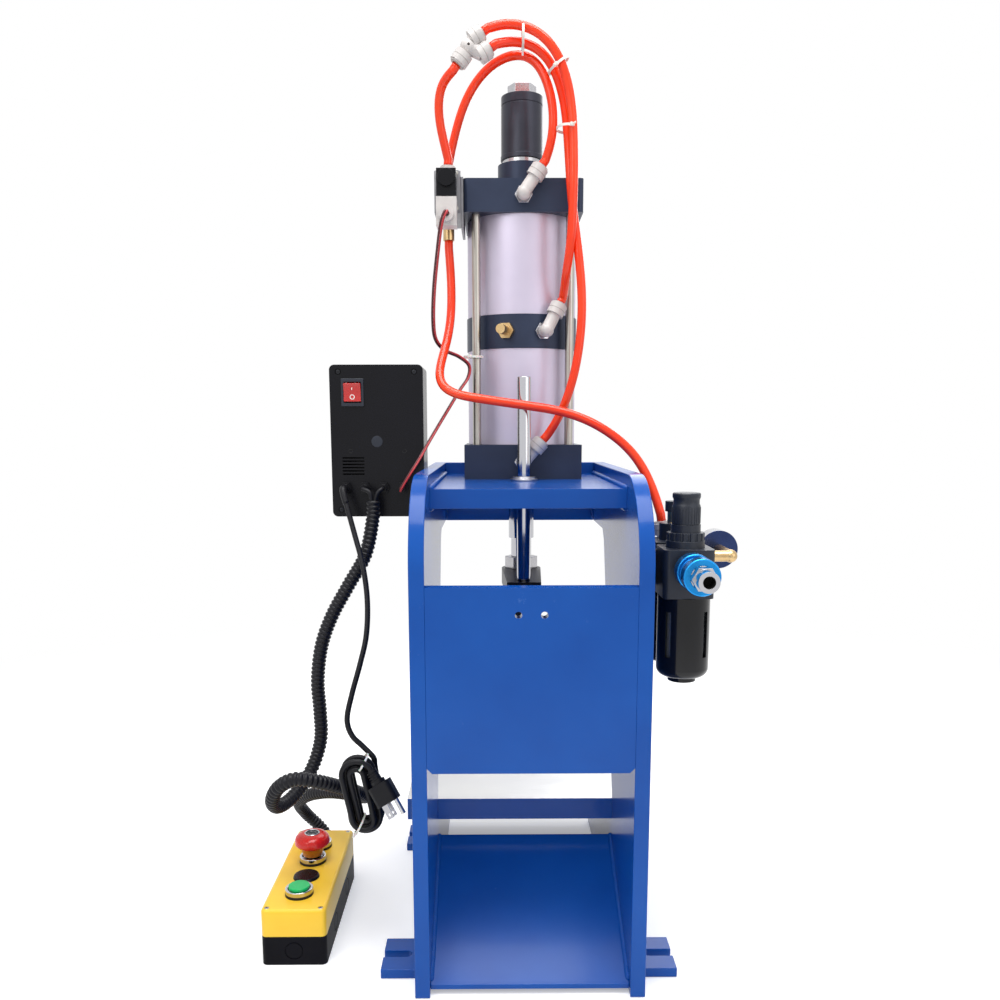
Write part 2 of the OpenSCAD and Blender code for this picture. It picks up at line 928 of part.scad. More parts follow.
module upper_cap() {
  color("darkslategray")
    difference() {
      union() {
        at_axis(top_cap_z)
          linear_extrude(top_cap_h)
            rounded_rect(top_cap_w, top_cap_w, top_cap_r);
        at_axis(top_cap_z - spigot_h)
          cylinder(d = spigot_d, h = spigot_h + over);
        at_axis(top_cap_top - over)
          cylinder(d = boss_d, h = boss_h + over);
      }
      at_axis(top_cap_z - spigot_h)
        drill(loose(top_rod_d + 2 * bushing_wall), top_cap_h + boss_h + spigot_h);
      at_axis(top_cap_z)
        four_around(tie_off)
          drill(loose(tie_d), top_cap_h);
      at_axis(top_cap_top - tie_sink)
        four_around(tie_off)
          cylinder(d = tie_sink_d, h = tie_sink + over);
      translate([0, top_face_y, top_port_z])
        port_drilling(port_drill_in + port_drill_d / 2);
      translate([0, top_face_y + port_drill_in, top_cap_z - spigot_h - over])
        cylinder(d = port_drill_d, h = top_cap_h / 2 + spigot_h + over);
    }
}

module tie_rods() {
  low = low_cap_top - tie_seat + over;
  seat = top_cap_top - tie_sink;
  color("silver")
    at_axis(0)
      four_around(tie_off) {
        translate([0, 0, low])
          cylinder(d = tie_d, h = seat + tie_nut_h - low);
        translate([0, 0, seat])
          cylinder(d = tie_nut_d, h = tie_nut_h, $fn = hex_sides);
      }
}

module rod_bushings() {
  low_d = rod_d + 2 * bushing_wall;
  top_d = top_rod_d + 2 * bushing_wall;
  color("darkgoldenrod") {
    at_axis(head_top_z)
      ring_bar(low_d, loose(rod_d), low_cap_h + spigot_h);
    at_axis(ring_z - spigot_h)
      ring_bar(low_d, loose(rod_d), ring_h + 2 * spigot_h);
    at_axis(top_cap_z - spigot_h)
      ring_bar(top_d, loose(top_rod_d), top_cap_h + boss_h + spigot_h);
  }
}

module guide_bushing() {
  low = head_top_z - head_t - bush_below;
  color("silver")
    translate([0, guide_y, 0])
      difference() {
        union() {
          translate([0, 0, low])
            cylinder(d = bush_d, h = head_t + bush_below + bush_stand);
          translate([0, 0, head_top_z])
            cylinder(d = bush_flange_d, h = bush_flange_t);
        }
        translate([0, 0, low])
          drill(loose(guide_d), head_t + bush_below + bush_stand);
      }
}

module cap_screws() {
  under = head_top_z - head_t;
  color("dimgray")
    at_axis(0)
      four_around(cap_screw_off) {
        translate([0, 0, under])
          cylinder(d = cap_screw_d, h = head_t + cap_screw_bite);
        translate([0, 0, under - cap_screw_head_h])
          cylinder(d = cap_screw_head_d, h = cap_screw_head_h);
      }
}

// Ram: everything that strokes with the piston rod

module piston_rod() {
  neck_z = link_top_z + rod_nut_h;
  shaft_z = neck_z + rod_neck_l;
  step_z = top_piston_z + piston_t;
  color("silver") {
    at_axis(rod_end_z)
      cylinder(d = rod_thread_d, h = neck_z - rod_end_z);
    at_axis(neck_z)
      cylinder(d = rod_neck_d, h = rod_neck_l);
    at_axis(shaft_z)
      cylinder(d = rod_d, h = step_z - shaft_z);
    at_axis(step_z)
      cylinder(d = top_rod_d, h = lock_z + lock_h - rod_top_in - step_z);
  }
}

module pistons() {
  color("lightgray")
    for (z = [low_piston_z, top_piston_z])
      at_axis(z)
        difference() {
          cylinder(d = piston_d, h = piston_t);
          drill(loose(rod_d), piston_t);
          translate([0, 0, (piston_t - seal_w) / 2])
            ring_bar(bore_d + over, piston_d - 2 * seal_deep, seal_w);
        }
}

module piston_seals() {
  color("black")
    for (z = [low_piston_z, top_piston_z])
      at_axis(z + (piston_t - seal_w) / 2)
        ring_bar(spigot_d, loose(piston_d - 2 * seal_deep), seal_w);
}

module stop_bumper() {
  color("lightgray")
    at_axis(boss_top)
      ring_bar(bumper_d, loose(top_rod_d), bumper_h);
}

module adjuster_sleeve() {
  color("darkslategray")
    difference() {
      union() {
        at_axis(sleeve_z)
          cylinder(d = sleeve_d, h = sleeve_h);
        at_axis(sleeve_z)
          cylinder(d = sleeve_d + sleeve_skirt, h = sleeve_skirt_h);
      }
      at_axis(sleeve_z)
        drill(loose(top_rod_d), sleeve_h);
      at_axis(sleeve_z + sleeve_groove_z)
        ring_bar(sleeve_d + over, sleeve_d - 2 * sleeve_groove_t, sleeve_groove_w);
    }
}

module rod_nuts() {
  color("silver") {
    at_axis(lock_z)
      difference() {
        hex_bar(lock_af, lock_h);
        drill(loose(top_rod_d), lock_h - rod_top_in);
      }
    at_axis(link_top_z)
      difference() {
        hex_bar(rod_nut_af, rod_nut_h);
        drill(loose(rod_thread_d), rod_nut_h);
      }
  }
}

module link_plate() {
  low = link_top_z - link_t;
  end_y = guide_y - link_rear_in;
  color("dimgray")
    difference() {
      translate([0, 0, low])
        linear_extrude(link_t) {
          polygon([
            [-link_end_w / 2, end_y], [link_end_w / 2, end_y],
            [link_w / 2, axis_y], [-link_w / 2, axis_y]
          ]);
          translate([0, axis_y])
            circle(d = link_w);
        }
      at_axis(low)
        drill(loose(rod_thread_d), link_t);
      translate([0, guide_y, low])
        drill(loose(guide_spigot_d), link_t);
    }
}

module guide_rod() {
  color("silver")
    translate([0, guide_y, 0]) {
      translate([0, 0, link_top_z])
        cylinder(d = guide_d, h = guide_l);
      translate([0, 0, link_top_z - link_t - guide_head_h])
        cylinder(d = guide_spigot_d, h = link_t + guide_head_h + over);
      translate([0, 0, link_top_z - link_t - guide_head_h])
        cylinder(d = guide_d, h = guide_head_h);
    }
}

module tool_holder() {
  top = link_top_z - link_t;
  screw_z = top - tool_h + shank_depth / 2;
  color("dimgray")
    difference() {
      at_axis(top - tool_h)
        cylinder(d = tool_d, h = tool_h);
      at_axis(rod_end_z)
        drill(loose(rod_thread_d), thread_bite);
      at_axis(top - tool_h - over)
        cylinder(d = shank_d, h = shank_depth + over);
      at_axis(screw_z)
        along_x()
          cylinder(d = m8_drill, h = tool_d);
    }
}

// Solenoid valve

module valve_body() {
  color("lightgray")
    difference() {
      union() {
        translate([valve_x - valve_w / 2, valve_rear_y, valve_low_z])
          cube([valve_w, valve_l, valve_h]);
        for (y = [valve_rear_y - valve_cap_t, valve_rear_y + valve_l])
          translate([valve_x, y + valve_cap_t, valve_low_z + valve_h / 2])
            rotate([90, 0, 0])
              linear_extrude(valve_cap_t)
                rounded_rect(valve_w - over, valve_h - over, valve_cap_r);
      }
      translate([valve_x, valve_in_y, valve_low_z - over])
        cylinder(d = port_drill_d, h = valve_h / 2);
      for (y = [valve_out_front_y, valve_out_rear_y])
        translate([valve_x, y, valve_low_z + valve_h / 2])
          cylinder(d = port_drill_d, h = valve_h);
    }
}

module valve_coil() {
  y = valve_rear_y - valve_cap_t;
  color("black") {
    translate([valve_x - coil_w / 2, y - coil_l, coil_z])
      cube([coil_w, coil_l, coil_h]);
    translate([valve_x, y - coil_l - coil_nut_t, coil_z + coil_nut_up])
      along_y()
        cylinder(d = coil_nut_d, h = coil_nut_t);
  }
}

module valve_connector() {
  y = valve_rear_y - valve_cap_t - coil_l;
  color("white")
    difference() {
      union() {
        translate([valve_x - conn_w / 2, y, coil_z - conn_h])
          cube([conn_w, conn_l, conn_h]);
        translate([valve_x, y - conn_ring_t, conn_ring_z])
          along_y()
            cylinder(d = conn_ring_d, h = conn_ring_t + over);
      }
      translate([valve_x, y - conn_ring_t - over, conn_ring_z])
        along_y()
          cylinder(d = conn_bore_d, h = conn_ring_t + conn_l / 2);
    }
}

// Stamped plate behind the valve, and the block that carries the air unit
module brackets() {
  color("dimgray") {
    translate([valve_face_x, valve_rear_y + valve_cap_t, valve_low_z - 3 * valve_cap_t])
      cube([bracket_t, valve_l - 2 * valve_cap_t, valve_h + 2 * valve_cap_t]);
    translate([frame_w / 2, filter_y + unit_w / 2, unit_body_low_z + unit_corner]) {
      cube([unit_x - frame_w / 2 + unit_w / 3, spacer_l, unit_body_h - 2 * unit_corner]);
      translate([0, -spacer_l, 0])
        cube([bracket_t, 3 * spacer_l, unit_body_h - 2 * unit_corner]);
    }
  }
}

// Fittings. A port's local frame has its outward axis along -Y and its face at the origin.

module at_port(pos, yaw) {
  translate(pos)
    rotate([0, 0, yaw])
      children();
}

module at_low_port() {
  at_port([0, cap_rear_y, low_port_z], 0)
    children();
}

module at_ring_port(yaw) {
  at_axis(ring_port_z)
    rotate([0, 0, yaw])
      translate([0, -ring_d / 2, 0])
        children();
}

module at_top_port() {
  at_port([0, top_face_y, top_port_z], 0)
    children();
}

module at_unit_outlet() {
  at_port([unit_x, lub_y + unit_w / 2, inlet_z], 180)
    children();
}

module port_nipple() {
  rotate([90, 0, 0])
    hex_bar(port_nip_af, port_nip_h);
  translate([0, -over, 0])
    along_y()
      cylinder(d = port_d, h = port_shank_l + over);
}

module port_nipples() {
  color("silver") {
    at_low_port()
      port_nipple();
    at_ring_port(ring_port_yaw)
      port_nipple();
    at_top_port()
      port_nipple();
    at_unit_outlet()
      port_nipple();
  }
}

// Collar of a push-in fitting: its mouth is at z = l, and its release ring stands out of it
module push_in_collar(l, h = collar_l) {
  translate([0, 0, l - h])
    cylinder(d = collar_d, h = h - release_t);
  translate([0, 0, l - release_t])
    cylinder(d = release_d, h = release_t);
}

module push_in_elbow(roll) {
  translate([0, -elbow_centre, 0]) {
    sphere(d = elbow_ball_d);
    along_y()
      cylinder(d = port_d, h = elbow_centre - port_nip_h);
    rotate([0, 90 - roll, 0]) {
      cylinder(d = elbow_body_d, h = elbow_reach - collar_l / 2);
      push_in_collar(elbow_reach);
    }
  }
}

module push_in_fittings() {
  color("white") {
    at_low_port()
      push_in_elbow(low_port_roll);
    at_ring_port(ring_port_yaw)
      push_in_elbow(ring_port_roll);
    at_top_port()
      push_in_elbow(top_port_roll);
    at_unit_outlet()
      push_in_elbow(unit_outlet_roll);
    for (y = [valve_out_front_y, valve_out_rear_y])
      translate([valve_x, y, valve_top_z])
        push_in_collar(valve_collar_l, valve_collar_l);
  }
}
valve_collar_l = 7;
unit_outlet_roll = 80;

// Point and direction of a mouth, in the press's own frame
function turned(v, yaw) = [
  v.x * cos(yaw) - v.y * sin(yaw), v.x * sin(yaw) + v.y * cos(yaw), v.z
];
function roll_dir(roll) = [cos(roll), 0, sin(roll)];
function elbow_mouth(pos, yaw, roll) =
  pos + turned([0, -elbow_centre, 0] + elbow_reach * roll_dir(roll), yaw);
ring_port_pos = [0, axis_y, ring_port_z] + turned([0, -ring_d / 2, 0], ring_port_yaw);
low_mouth = elbow_mouth([0, cap_rear_y, low_port_z], 0, low_port_roll);
ring_mouth = elbow_mouth(ring_port_pos, ring_port_yaw, ring_port_roll);
top_mouth = elbow_mouth([0, top_face_y, top_port_z], 0, top_port_roll);
unit_mouth = elbow_mouth([unit_x, lub_y + unit_w / 2, inlet_z], 180, unit_outlet_roll);
valve_front_mouth = [valve_x, valve_out_front_y, valve_top_z + valve_collar_l];
valve_rear_mouth = [valve_x, valve_out_rear_y, valve_top_z + valve_collar_l];
valve_in_mouth = [valve_x, valve_in_y, valve_low_z - inlet_fit_l];
split_in_dir = roll_dir(split_in_angle);
split_out_dir = roll_dir(split_out_angle);
split_in_mouth = split_pos + split_in_l * split_in_dir;
split_up_end = split_pos + [split_up_off.x, 0, split_up_off.y];
split_low_end = split_pos + [split_low_off.x, 0, split_low_off.y];
split_up_mouth = split_up_end + collar_l * split_out_dir;
split_low_mouth = split_low_end + collar_l * split_out_dir;

module between(a, b, d) {
  v = b - a;
  translate(a)
    rotate([0, acos(v.z / norm(v)), atan2(v.y, v.x)])
      cylinder(d = d, h = norm(v));
}

module hose_splitter() {
  color("white")
    difference() {
      union() {
        translate(split_pos)
          sphere(d = split_ball_d);
        translate(split_pos)
          rotate([0, 90 - split_in_angle, 0])
            push_in_collar(split_in_l);
        for (end = [split_up_end, split_low_end]) {
          between(split_pos, end + split_bar_in * split_out_dir, split_bar_d);
          translate(end)
            rotate([0, 90 - split_out_angle, 0])
              push_in_collar(collar_l);
        }
      }
      translate(split_pos - [0, split_ball_d, 0])
        along_y()
          cylinder(d = split_hole_d, h = 2 * split_ball_d);
    }
}

// Silencers, the valve's hose tail and the elbow that carries the gauge
module brass_fittings() {
  color("goldenrod") {
    at_ring_port(ring_silencer_yaw) {
      rotate([90, 0, 0]) {
        hex_bar(port_nip_af - over, 2 * port_nip_h);
        cylinder(d = port_d - 2 * over, h = 2 * port_shank_l + elbow_centre);
      }
      translate([0, -over, 0])
        along_y()
          cylinder(d = port_d, h = port_shank_l + over);
    }
    translate([valve_x, valve_in_y, valve_low_z - inlet_fit_l])
      cylinder(d = inlet_fit_d, h = inlet_fit_l);
    translate([valve_x, valve_exhaust_y, valve_low_z - exhaust_l])
      cylinder(d = exhaust_d, h = exhaust_l);
    translate([unit_x + unit_w / 2, filter_y, gauge_z])
      along_x()
        cylinder(d = gauge_elbow_d, h = gauge_x - unit_x - unit_w / 2);
    translate([gauge_x, filter_y, gauge_z])
      along_x()
        sphere(d = gauge_elbow_d + 2 * over);
    translate([gauge_x, filter_y, gauge_z])
      along_y()
        cylinder(d = gauge_elbow_d, h = gauge_back_y - filter_y);
  }
}

// Hoses and leads

hose_steps = 2;
hose_sides = 10;

module cylinder_hoses() {
  color("orangered") {
    hose(valve_front_mouth, [0, 0, 1], by_cylinder(hose_loop_points), split_in_mouth,
      split_in_dir, hose_d, hose_steps, hose_sides);
    hose(split_up_mouth, split_out_dir, by_cylinder(middle_hose_points), ring_mouth,
      turned(roll_dir(ring_port_roll), ring_port_yaw), hose_d, hose_steps, hose_sides);
    hose(split_low_mouth, split_out_dir, by_cylinder(lower_hose_points), low_mouth,
      roll_dir(low_port_roll), hose_d, hose_steps, hose_sides);
    hose(valve_rear_mouth, [0, 0, 1], by_cylinder(upper_hose_points), top_mouth,
      roll_dir(top_port_roll), hose_d, hose_steps, hose_sides);
  }
}

module supply_hose() {
  points = concat(by_cylinder(supply_hose_points), by_unit(supply_drop_points));
  color("orangered")
    hose(valve_in_mouth, [0, 0, -1], points, unit_mouth,
      turned(roll_dir(unit_outlet_roll), 180), hose_d, hose_steps, hose_sides);
}

function gland_tip(i) = [gland_x + i * gland_pitch, box_y - gland_tip_l, gland_z];
conn_tip_y = valve_rear_y - valve_cap_t - coil_l - conn_ring_t;
wire_sides = 8;

module signal_lead() {
  tip = gland_tip(gland_count - 1);
  start = [valve_x, conn_tip_y, conn_ring_z];
  lead = [0, -4 * wire_d, 0];
  points = concat(by_cylinder(lead_points), by_box(lead_drop_points));
  s = spline(concat([start, start + lead], points, [tip + lead, tip]), 2);
  t = ended(tangents(s), [0, -1, 0], [0, 1, 0]);
  n = normals(t);
  color("firebrick")
    for (side = [-1, 1])
      swept([for (i = [0 : len(s) - 1]) s[i] + side * wire_off * n[i]],
        [0, -1, 0], [0, 1, 0], wire_d / 2, wire_sides);
}
wire_off = 1.35;

// Control box

module control_box() {
  color("black")
    difference() {
      translate([box_x, box_y + box_depth, box_low_z + box_h / 2])
        rotate([90, 0, 0])
          linear_extrude(box_depth - box_lid_t)
            rounded_rect(box_w, box_h, box_corner);
      translate([box_x, box_y + box_depth - box_wall, box_low_z + box_h / 2])
        rotate([90, 0, 0])
          linear_extrude(box_depth)
            rounded_rect(box_w - 2 * box_wall, box_h - 2 * box_wall,
              box_corner - box_wall);
    }
}

module control_box_lid() {
  color("black")
    difference() {
      translate([box_x, box_y + box_lid_t, box_low_z + box_h / 2])
        rotate([90, 0, 0])
          linear_extrude(box_lid_t)
            rounded_rect(box_w, box_h, box_corner);
      for (i = [0 : gland_count - 1])
        translate([gland_x + i * gland_pitch, box_y, gland_z])
          along_y()
            drill(gland_tip_d, box_lid_t);
      translate([
        rocker_x - bezel_w / 2 + bezel_wall, box_y - over,
        rocker_z - bezel_h / 2 + bezel_wall
      ])
        cube([bezel_w - 2 * bezel_wall, box_lid_t + 2 * over,
          bezel_h - 2 * bezel_wall]);
      for (i = [0 : louvre_count - 1])
        translate([
          louvre_x - louvre_w / 2, box_y - over,
          louvre_z + i * louvre_pitch
        ])
          cube([louvre_w, box_lid_t + 2 * over, louvre_h]);
      for (x = [-1, 1], z = [-1, 1])
        translate([
          box_x + x * (box_w / 2 - box_screw_in_x), box_y - over,
          box_low_z + box_h / 2 + z * (box_h / 2 - box_screw_in_z)
        ])
          along_y()
            cylinder(d = box_screw_d, h = box_screw_sink + over);
    }
}

module rocker_bezel() {
  deep = box_lid_t + rocker_deep;
  color("dimgray")
    difference() {
      union() {
        translate([rocker_x - bezel_w / 2, box_y - bezel_t, rocker_z - bezel_h / 2])
          cube([bezel_w, bezel_t, bezel_h]);
        translate([
          rocker_x - bezel_w / 2 + bezel_wall + fit_gap, box_y - bezel_t,
          rocker_z - bezel_h / 2 + bezel_wall + fit_gap
        ])
          cube([bezel_w - 2 * bezel_wall - 2 * fit_gap, deep + bezel_t,
            bezel_h - 2 * bezel_wall - 2 * fit_gap]);
      }
      translate([
        rocker_x - rocker_w / 2 - seat_gap / 2, box_y - bezel_t - over,
        rocker_z - rocker_h / 2 - seat_gap
      ])
        cube([rocker_w + seat_gap, deep + bezel_t, rocker_h + 2 * seat_gap]);
    }
}

// Two flats that meet at the pivot
module rocker_switch() {
  half = rocker_h / 2 - over;
  rise = half * tan(rocker_swing);
  face_y = box_y - bezel_t - over;
  color("red")
    translate([rocker_x - rocker_w / 2 + fit_gap, 0, rocker_z])
      rotate([90, 0, 90])
        linear_extrude(rocker_w - 2 * fit_gap)
          polygon([
            [face_y, 0], [face_y - 2 * rise, half],
            [face_y + rocker_deep / 2, half], [face_y + rocker_deep, 0],
            [face_y + rocker_deep / 2, -half], [face_y, -half]
          ]);
}

module cable_glands() {
  color("black") {
    for (i = [0 : gland_count - 1])
      translate([gland_x + i * gland_pitch, box_y, gland_z])
        rotate([90, 0, 0]) {
          hex_bar(gland_nut_d, gland_nut_l);
          cylinder(d = gland_tip_d, h = gland_tip_l);
          translate([0, 0, -box_lid_t])
            cylinder(d = snug(gland_tip_d), h = box_lid_t + over);
        }
    translate([-station_x, station_y + station_l, station_port_z])
      along_y() {
        cylinder(d = station_gland_d, h = station_gland_l);
        translate([0, 0, -station_wall])
          cylinder(d = snug(station_port_d), h = station_wall + over);
      }
  }
}

// Air preparation unit

module unit_block(y) {
  translate([unit_x, y, unit_body_low_z])
    linear_extrude(unit_body_h)
      rounded_rect(unit_w, unit_w, unit_corner);
}

module filter_regulator() {
  top = unit_body_low_z + unit_body_h;
  knurl_step = 360 / knurl_count;
  color("dimgray") {
    unit_block(filter_y);
    translate([unit_x, filter_y, top])
      cylinder(d = neck_d, h = neck_h);
    translate([unit_x, filter_y, top + neck_h])
      difference() {
        cylinder(d = knurl_d, h = knurl_h);
        for (a = [0 : knurl_step : 360 - knurl_step])
          rotate([0, 0, a])
            translate([knurl_d / 2, 0, 0])
              drill(knurl_cut, knurl_h);
      }
    translate([unit_x, filter_y, top + neck_h + knurl_h])
      cylinder(d = lock_ring_d, h = lock_ring_h);
    translate([unit_x, filter_y, knob_z - over])
      cylinder(d = knob_post_d, h = knob_post_h + over);
  }
}
knurl_count = 16;
knurl_cut = 3;

module lubricator() {
  top = unit_body_low_z + unit_body_h;
  color("dimgray")
    difference() {
      union() {
        unit_block(lub_y);
        translate([unit_x, lub_y, top]) {
          cylinder(d = lub_neck_d, h = lub_neck_h);
          translate([0, 0, lub_neck_h])
            cylinder(d = lub_glass_d, h = lub_glass_h);
          translate([0, 0, lub_neck_h + lub_glass_h])
            cylinder(d = lub_knob_d, h = lub_knob_h);
        }
      }
      at_unit_outlet()
        port_drilling(port_drill_in);
    }
}

// Metal bowl guard: round shouldered, with slits over the sight glass and a drain below
module unit_bowl() {
  r = bowl_d / 2;
  inner = r - bowl_wall;
  difference() {
    rotate_extrude()
      difference() {
        union() {
          translate([0, bowl_round])
            square([r, bowl_h - bowl_round]);
          square([r - bowl_round, 2 * bowl_round]);
          translate([r - bowl_round, bowl_round])
            circle(r = bowl_round);
          translate([0, -drain_h])
            square([drain_d / 2, drain_h + over]);
          translate([0, -drain_h - drain_tip_h])
            square([drain_tip_d / 2, drain_tip_h + over]);
        }
        translate([0, bowl_round])
          square([inner, bowl_h - bowl_round - 2 * bowl_wall]);
        translate([-r, -2 * r])
          square([r, 2 * r + bowl_h + over]);
      }
    for (a = [0 : 90 : 270])
      rotate([0, 0, a + 45])
        translate([0, -slit_w / 2, slit_z])
          cube([r + over, slit_w, slit_h]);
  }
}

module unit_bowls() {
  color("black")
    for (y = [filter_y, lub_y])
      translate([unit_x, y, unit_body_low_z - bowl_h])
        unit_bowl();
}

module regulator_knob() {
  r = knob_d / 2;
  color("dimgray")
    translate([unit_x, filter_y, knob_z])
      difference() {
        rotate_extrude()
          polygon([
            [0, 0], [r, 0], each [
              for (i = [0 : 3]) [i % 3 == 0 ? r : r - knob_waist, knob_h * knob_waist_shares[i]]
            ], [r, knob_h - knob_waist], [r - knob_waist, knob_h], [0, knob_h]
          ]);
        drill(loose(knob_post_d), knob_post_h);
      }
}

module pressure_gauge() {
  color("silver")
    translate([gauge_x, gauge_back_y, gauge_z])
      along_y()
        difference() {
          cylinder(d = gauge_d, h = gauge_depth);
          translate([0, 0, gauge_depth - gauge_recess])
            cylinder(d = gauge_d - 2 * gauge_rim, h = gauge_recess + over);
          translate([0, 0, gauge_depth - gauge_recess - over])
            cylinder(d = needle_hub_d / 2, h = 2 * over);
        }
}

// The needle's pointer stands over the dial, and its shaft turns in a hole in the dial
module gauge_needle() {
  dial_y = gauge_back_y + gauge_depth - gauge_recess;
  color("black")
    translate([gauge_x, dial_y, gauge_z]) {
      translate([0, needle_lift, 0])
        along_y()
          cylinder(d = needle_hub_d, h = needle_hub_h);
      translate([0, -over / 2, 0])
        along_y()
          cylinder(d = snug(needle_hub_d / 2), h = needle_lift + over);
      rotate([0, needle_rest, 0])
        translate([-needle_w / 2, needle_lift, -needle_hub_d / 2])
          cube([needle_w, needle_t, needle_l + needle_hub_d / 2]);
    }
}
needle_rest = 135;

// Hand slide valve at the inlet: fixed barrel, and a grip sleeve that slides on it
nozzle_gap = 19;
slide_front_y = rear_y - nozzle_gap;

module shutoff_valve() {
  body_y = filter_y - unit_w / 2;
  color("silver")
    translate([unit_x, 0, inlet_z])
      difference() {
        union() {
          translate([0, slide_front_y, 0])
            along_y()
              cylinder(d = barrel_d, h = body_y - slide_front_y);
          translate([0, slide_front_y - nozzle_hex_l, 0])
            along_y()
              hex_bar(nozzle_hex_af, nozzle_hex_l);
          translate([0, slide_front_y - nozzle_hex_l - nozzle_l, 0])
            along_y()
              cylinder(d = nozzle_d, h = nozzle_l);
        }
        translate([0, slide_front_y - nozzle_hex_l - nozzle_l - over, 0])
          along_y()
            cylinder(d = inlet_bore_d, h = inlet_depth + over);
      }
}

module shutoff_sleeve() {
  color("deepskyblue")
    translate([unit_x, slide_front_y, inlet_z])
      along_y()
        difference() {
          union() {
            cylinder(d = slide_sleeve_d, h = slide_sleeve_l);
            for (z = [0, slide_sleeve_l - sleeve_flange_l])
              translate([0, 0, z])
                rotate_extrude()
                  polygon([
                    [0, 0], [sleeve_flange_d / 2 - over, 0],
                    [sleeve_flange_d / 2, over],
                    [sleeve_flange_d / 2, sleeve_flange_l - over],
                    [sleeve_flange_d / 2 - over, sleeve_flange_l],
                    [0, sleeve_flange_l]
                  ]);
          }
          drill(loose(barrel_d), slide_sleeve_l);
        }
}

// Push-button station

function button_y(i) = station_y + button_first + i * button_pitch;

module at_station(y, z) {
  translate([-station_x, y, z])
    children();
}

module at_button(i, z) {
  at_station(button_y(i), z)
    children();
}

module knock_out() {
  translate([0, 0, -over])
    ring_bar(knock_d, knock_d - 2 * knock_w, knock_in + over);
}

module station_base() {
  in_w = station_w - 2 * station_wall;
  in_l = station_l - 2 * station_wall;
  color("black")
    difference() {
      at_station(station_mid_y, 0)
        linear_extrude(station_base_h)
          rounded_rect(station_w, station_l, station_corner);
      at_station(station_mid_y, station_wall)
        linear_extrude(station_base_h)
          rounded_rect(in_w, in_l, station_corner - station_wall);
      at_station(station_y, station_base_h / 2)
        along_y()
          knock_out();
      for (y = [-1, 1])
        translate([
          -station_x + station_w / 2, station_mid_y + y * station_knock_off,
          station_base_h / 2
        ])
          rotate([0, -90, 0])
            knock_out();
      at_station(station_y + station_l + over, station_port_z)
        rotate([90, 0, 0])
          cylinder(d = station_port_d, h = station_wall + 2 * over);
    }
}

module station_lid() {
  in_w = station_w - 2 * station_wall;
  in_l = station_l - 2 * station_wall;
  color("gold")
    difference() {
      at_station(station_mid_y, station_base_h)
        hull() {
          linear_extrude(station_lid_h - station_round)
            rounded_rect(station_w, station_l, station_corner, $fn = 32);
          linear_extrude(station_lid_h - station_ease)
            rounded_rect(station_w - 2 * station_ease, station_l - 2 * station_ease,
              station_corner - station_ease, $fn = 32);
          linear_extrude(station_lid_h)
            rounded_rect(station_w - 2 * station_round,
              station_l - 2 * station_round,
              station_corner - station_round, $fn = 32);
        }
      at_station(station_mid_y, station_base_h - over)
        linear_extrude(station_lid_h - station_wall + over)
          rounded_rect(in_w, in_l, station_corner - station_wall);
      for (i = [0 : 3])
        at_button(i, station_top_z - station_wall)
          drill(button_hole_d, station_wall);
      for (x = [-1, 1], y = [-1, 1])
        translate([
          -station_x + x * (station_w / 2 - station_corner),
          station_mid_y + y * (station_l / 2 - station_corner), station_top_z - over
        ])
          cylinder(d = station_corner, h = 2 * over);
    }
}

module station_bezels() {
  below = 2 * station_wall;
  color("silver")
    for (i = [0, 2, 3])
      at_button(i, 0)
        difference() {
          union() {
            translate([0, 0, station_top_z])
              cylinder(d = bezel_d, h = bezel_up);
            translate([0, 0, station_top_z - below])
              cylinder(d = snug(button_hole_d), h = below + over);
          }
          translate([0, 0, station_top_z + station_wall])
            cylinder(d = bezel_bore, h = bezel_up);
          translate([0, 0, station_top_z - below - over])
            cylinder(d = loose(start_stem_d), h = below + bezel_up);
        }
}

// Cap and guided stem of one start button, clear of its bezel's floor by its travel
module start_button(i) {
  floor_z = station_top_z + station_wall;
  color("limegreen") {
    at_button(i, floor_z + start_travel + seat_gap)
      cylinder(d = start_d, h = start_up - station_wall - start_travel - seat_gap);
    at_button(i, station_top_z - start_stem_l + start_travel)
      cylinder(d = start_stem_d, h = start_stem_l + station_wall + over);
  }
}

module start_button_near() {
  start_button(0);
}

module start_button_far() {
  start_button(3);
}

module stop_stem() {
  color("silver")
    at_button(2, 0) {
      translate([0, 0, station_top_z - start_stem_l])
        cylinder(d = start_stem_d, h = start_stem_l + stop_cap_z);
      translate([0, 0, station_top_z + station_wall + stop_travel + seat_gap])
        cylinder(d = stop_stem_d, h = stop_cap_z - station_wall - stop_travel
          - seat_gap);
    }
}

module stop_button() {
  r = stop_d / 2;
  color("red")
    at_button(2, station_top_z + stop_cap_z)
      rotate_extrude()
        polygon([
          [0, 0], [r - stop_cap_cut, 0], [r, stop_cap_cut],
          each [for (c = stop_cap_shares) [r * c.x, stop_cap_h * c.y]], [0, stop_cap_h]
        ]);
}

module blank_plug() {
  color("black")
    at_button(1, 0) {
      translate([0, 0, station_top_z])
        cylinder(d1 = plug_d, d2 = plug_d - plug_up, h = plug_up);
      translate([0, 0, station_top_z - 2 * station_wall])
        cylinder(d = snug(button_hole_d), h = 2 * station_wall + over);
    }
}

// Ribbed conduit from the control box to the station, with its bore, and the two leads
// that run into its upper mouth

conduit_sides = 8;
bore_steps = 6;
conduit_end = [-station_x, station_y + station_l + station_gland_l, station_port_z];
conduit_route = concat(hung(conduit_points), [conduit_end + [0, 2 * conduit_d, 0], conduit_end]);
conduit_rings = 2 * conduit_ribs + 1;

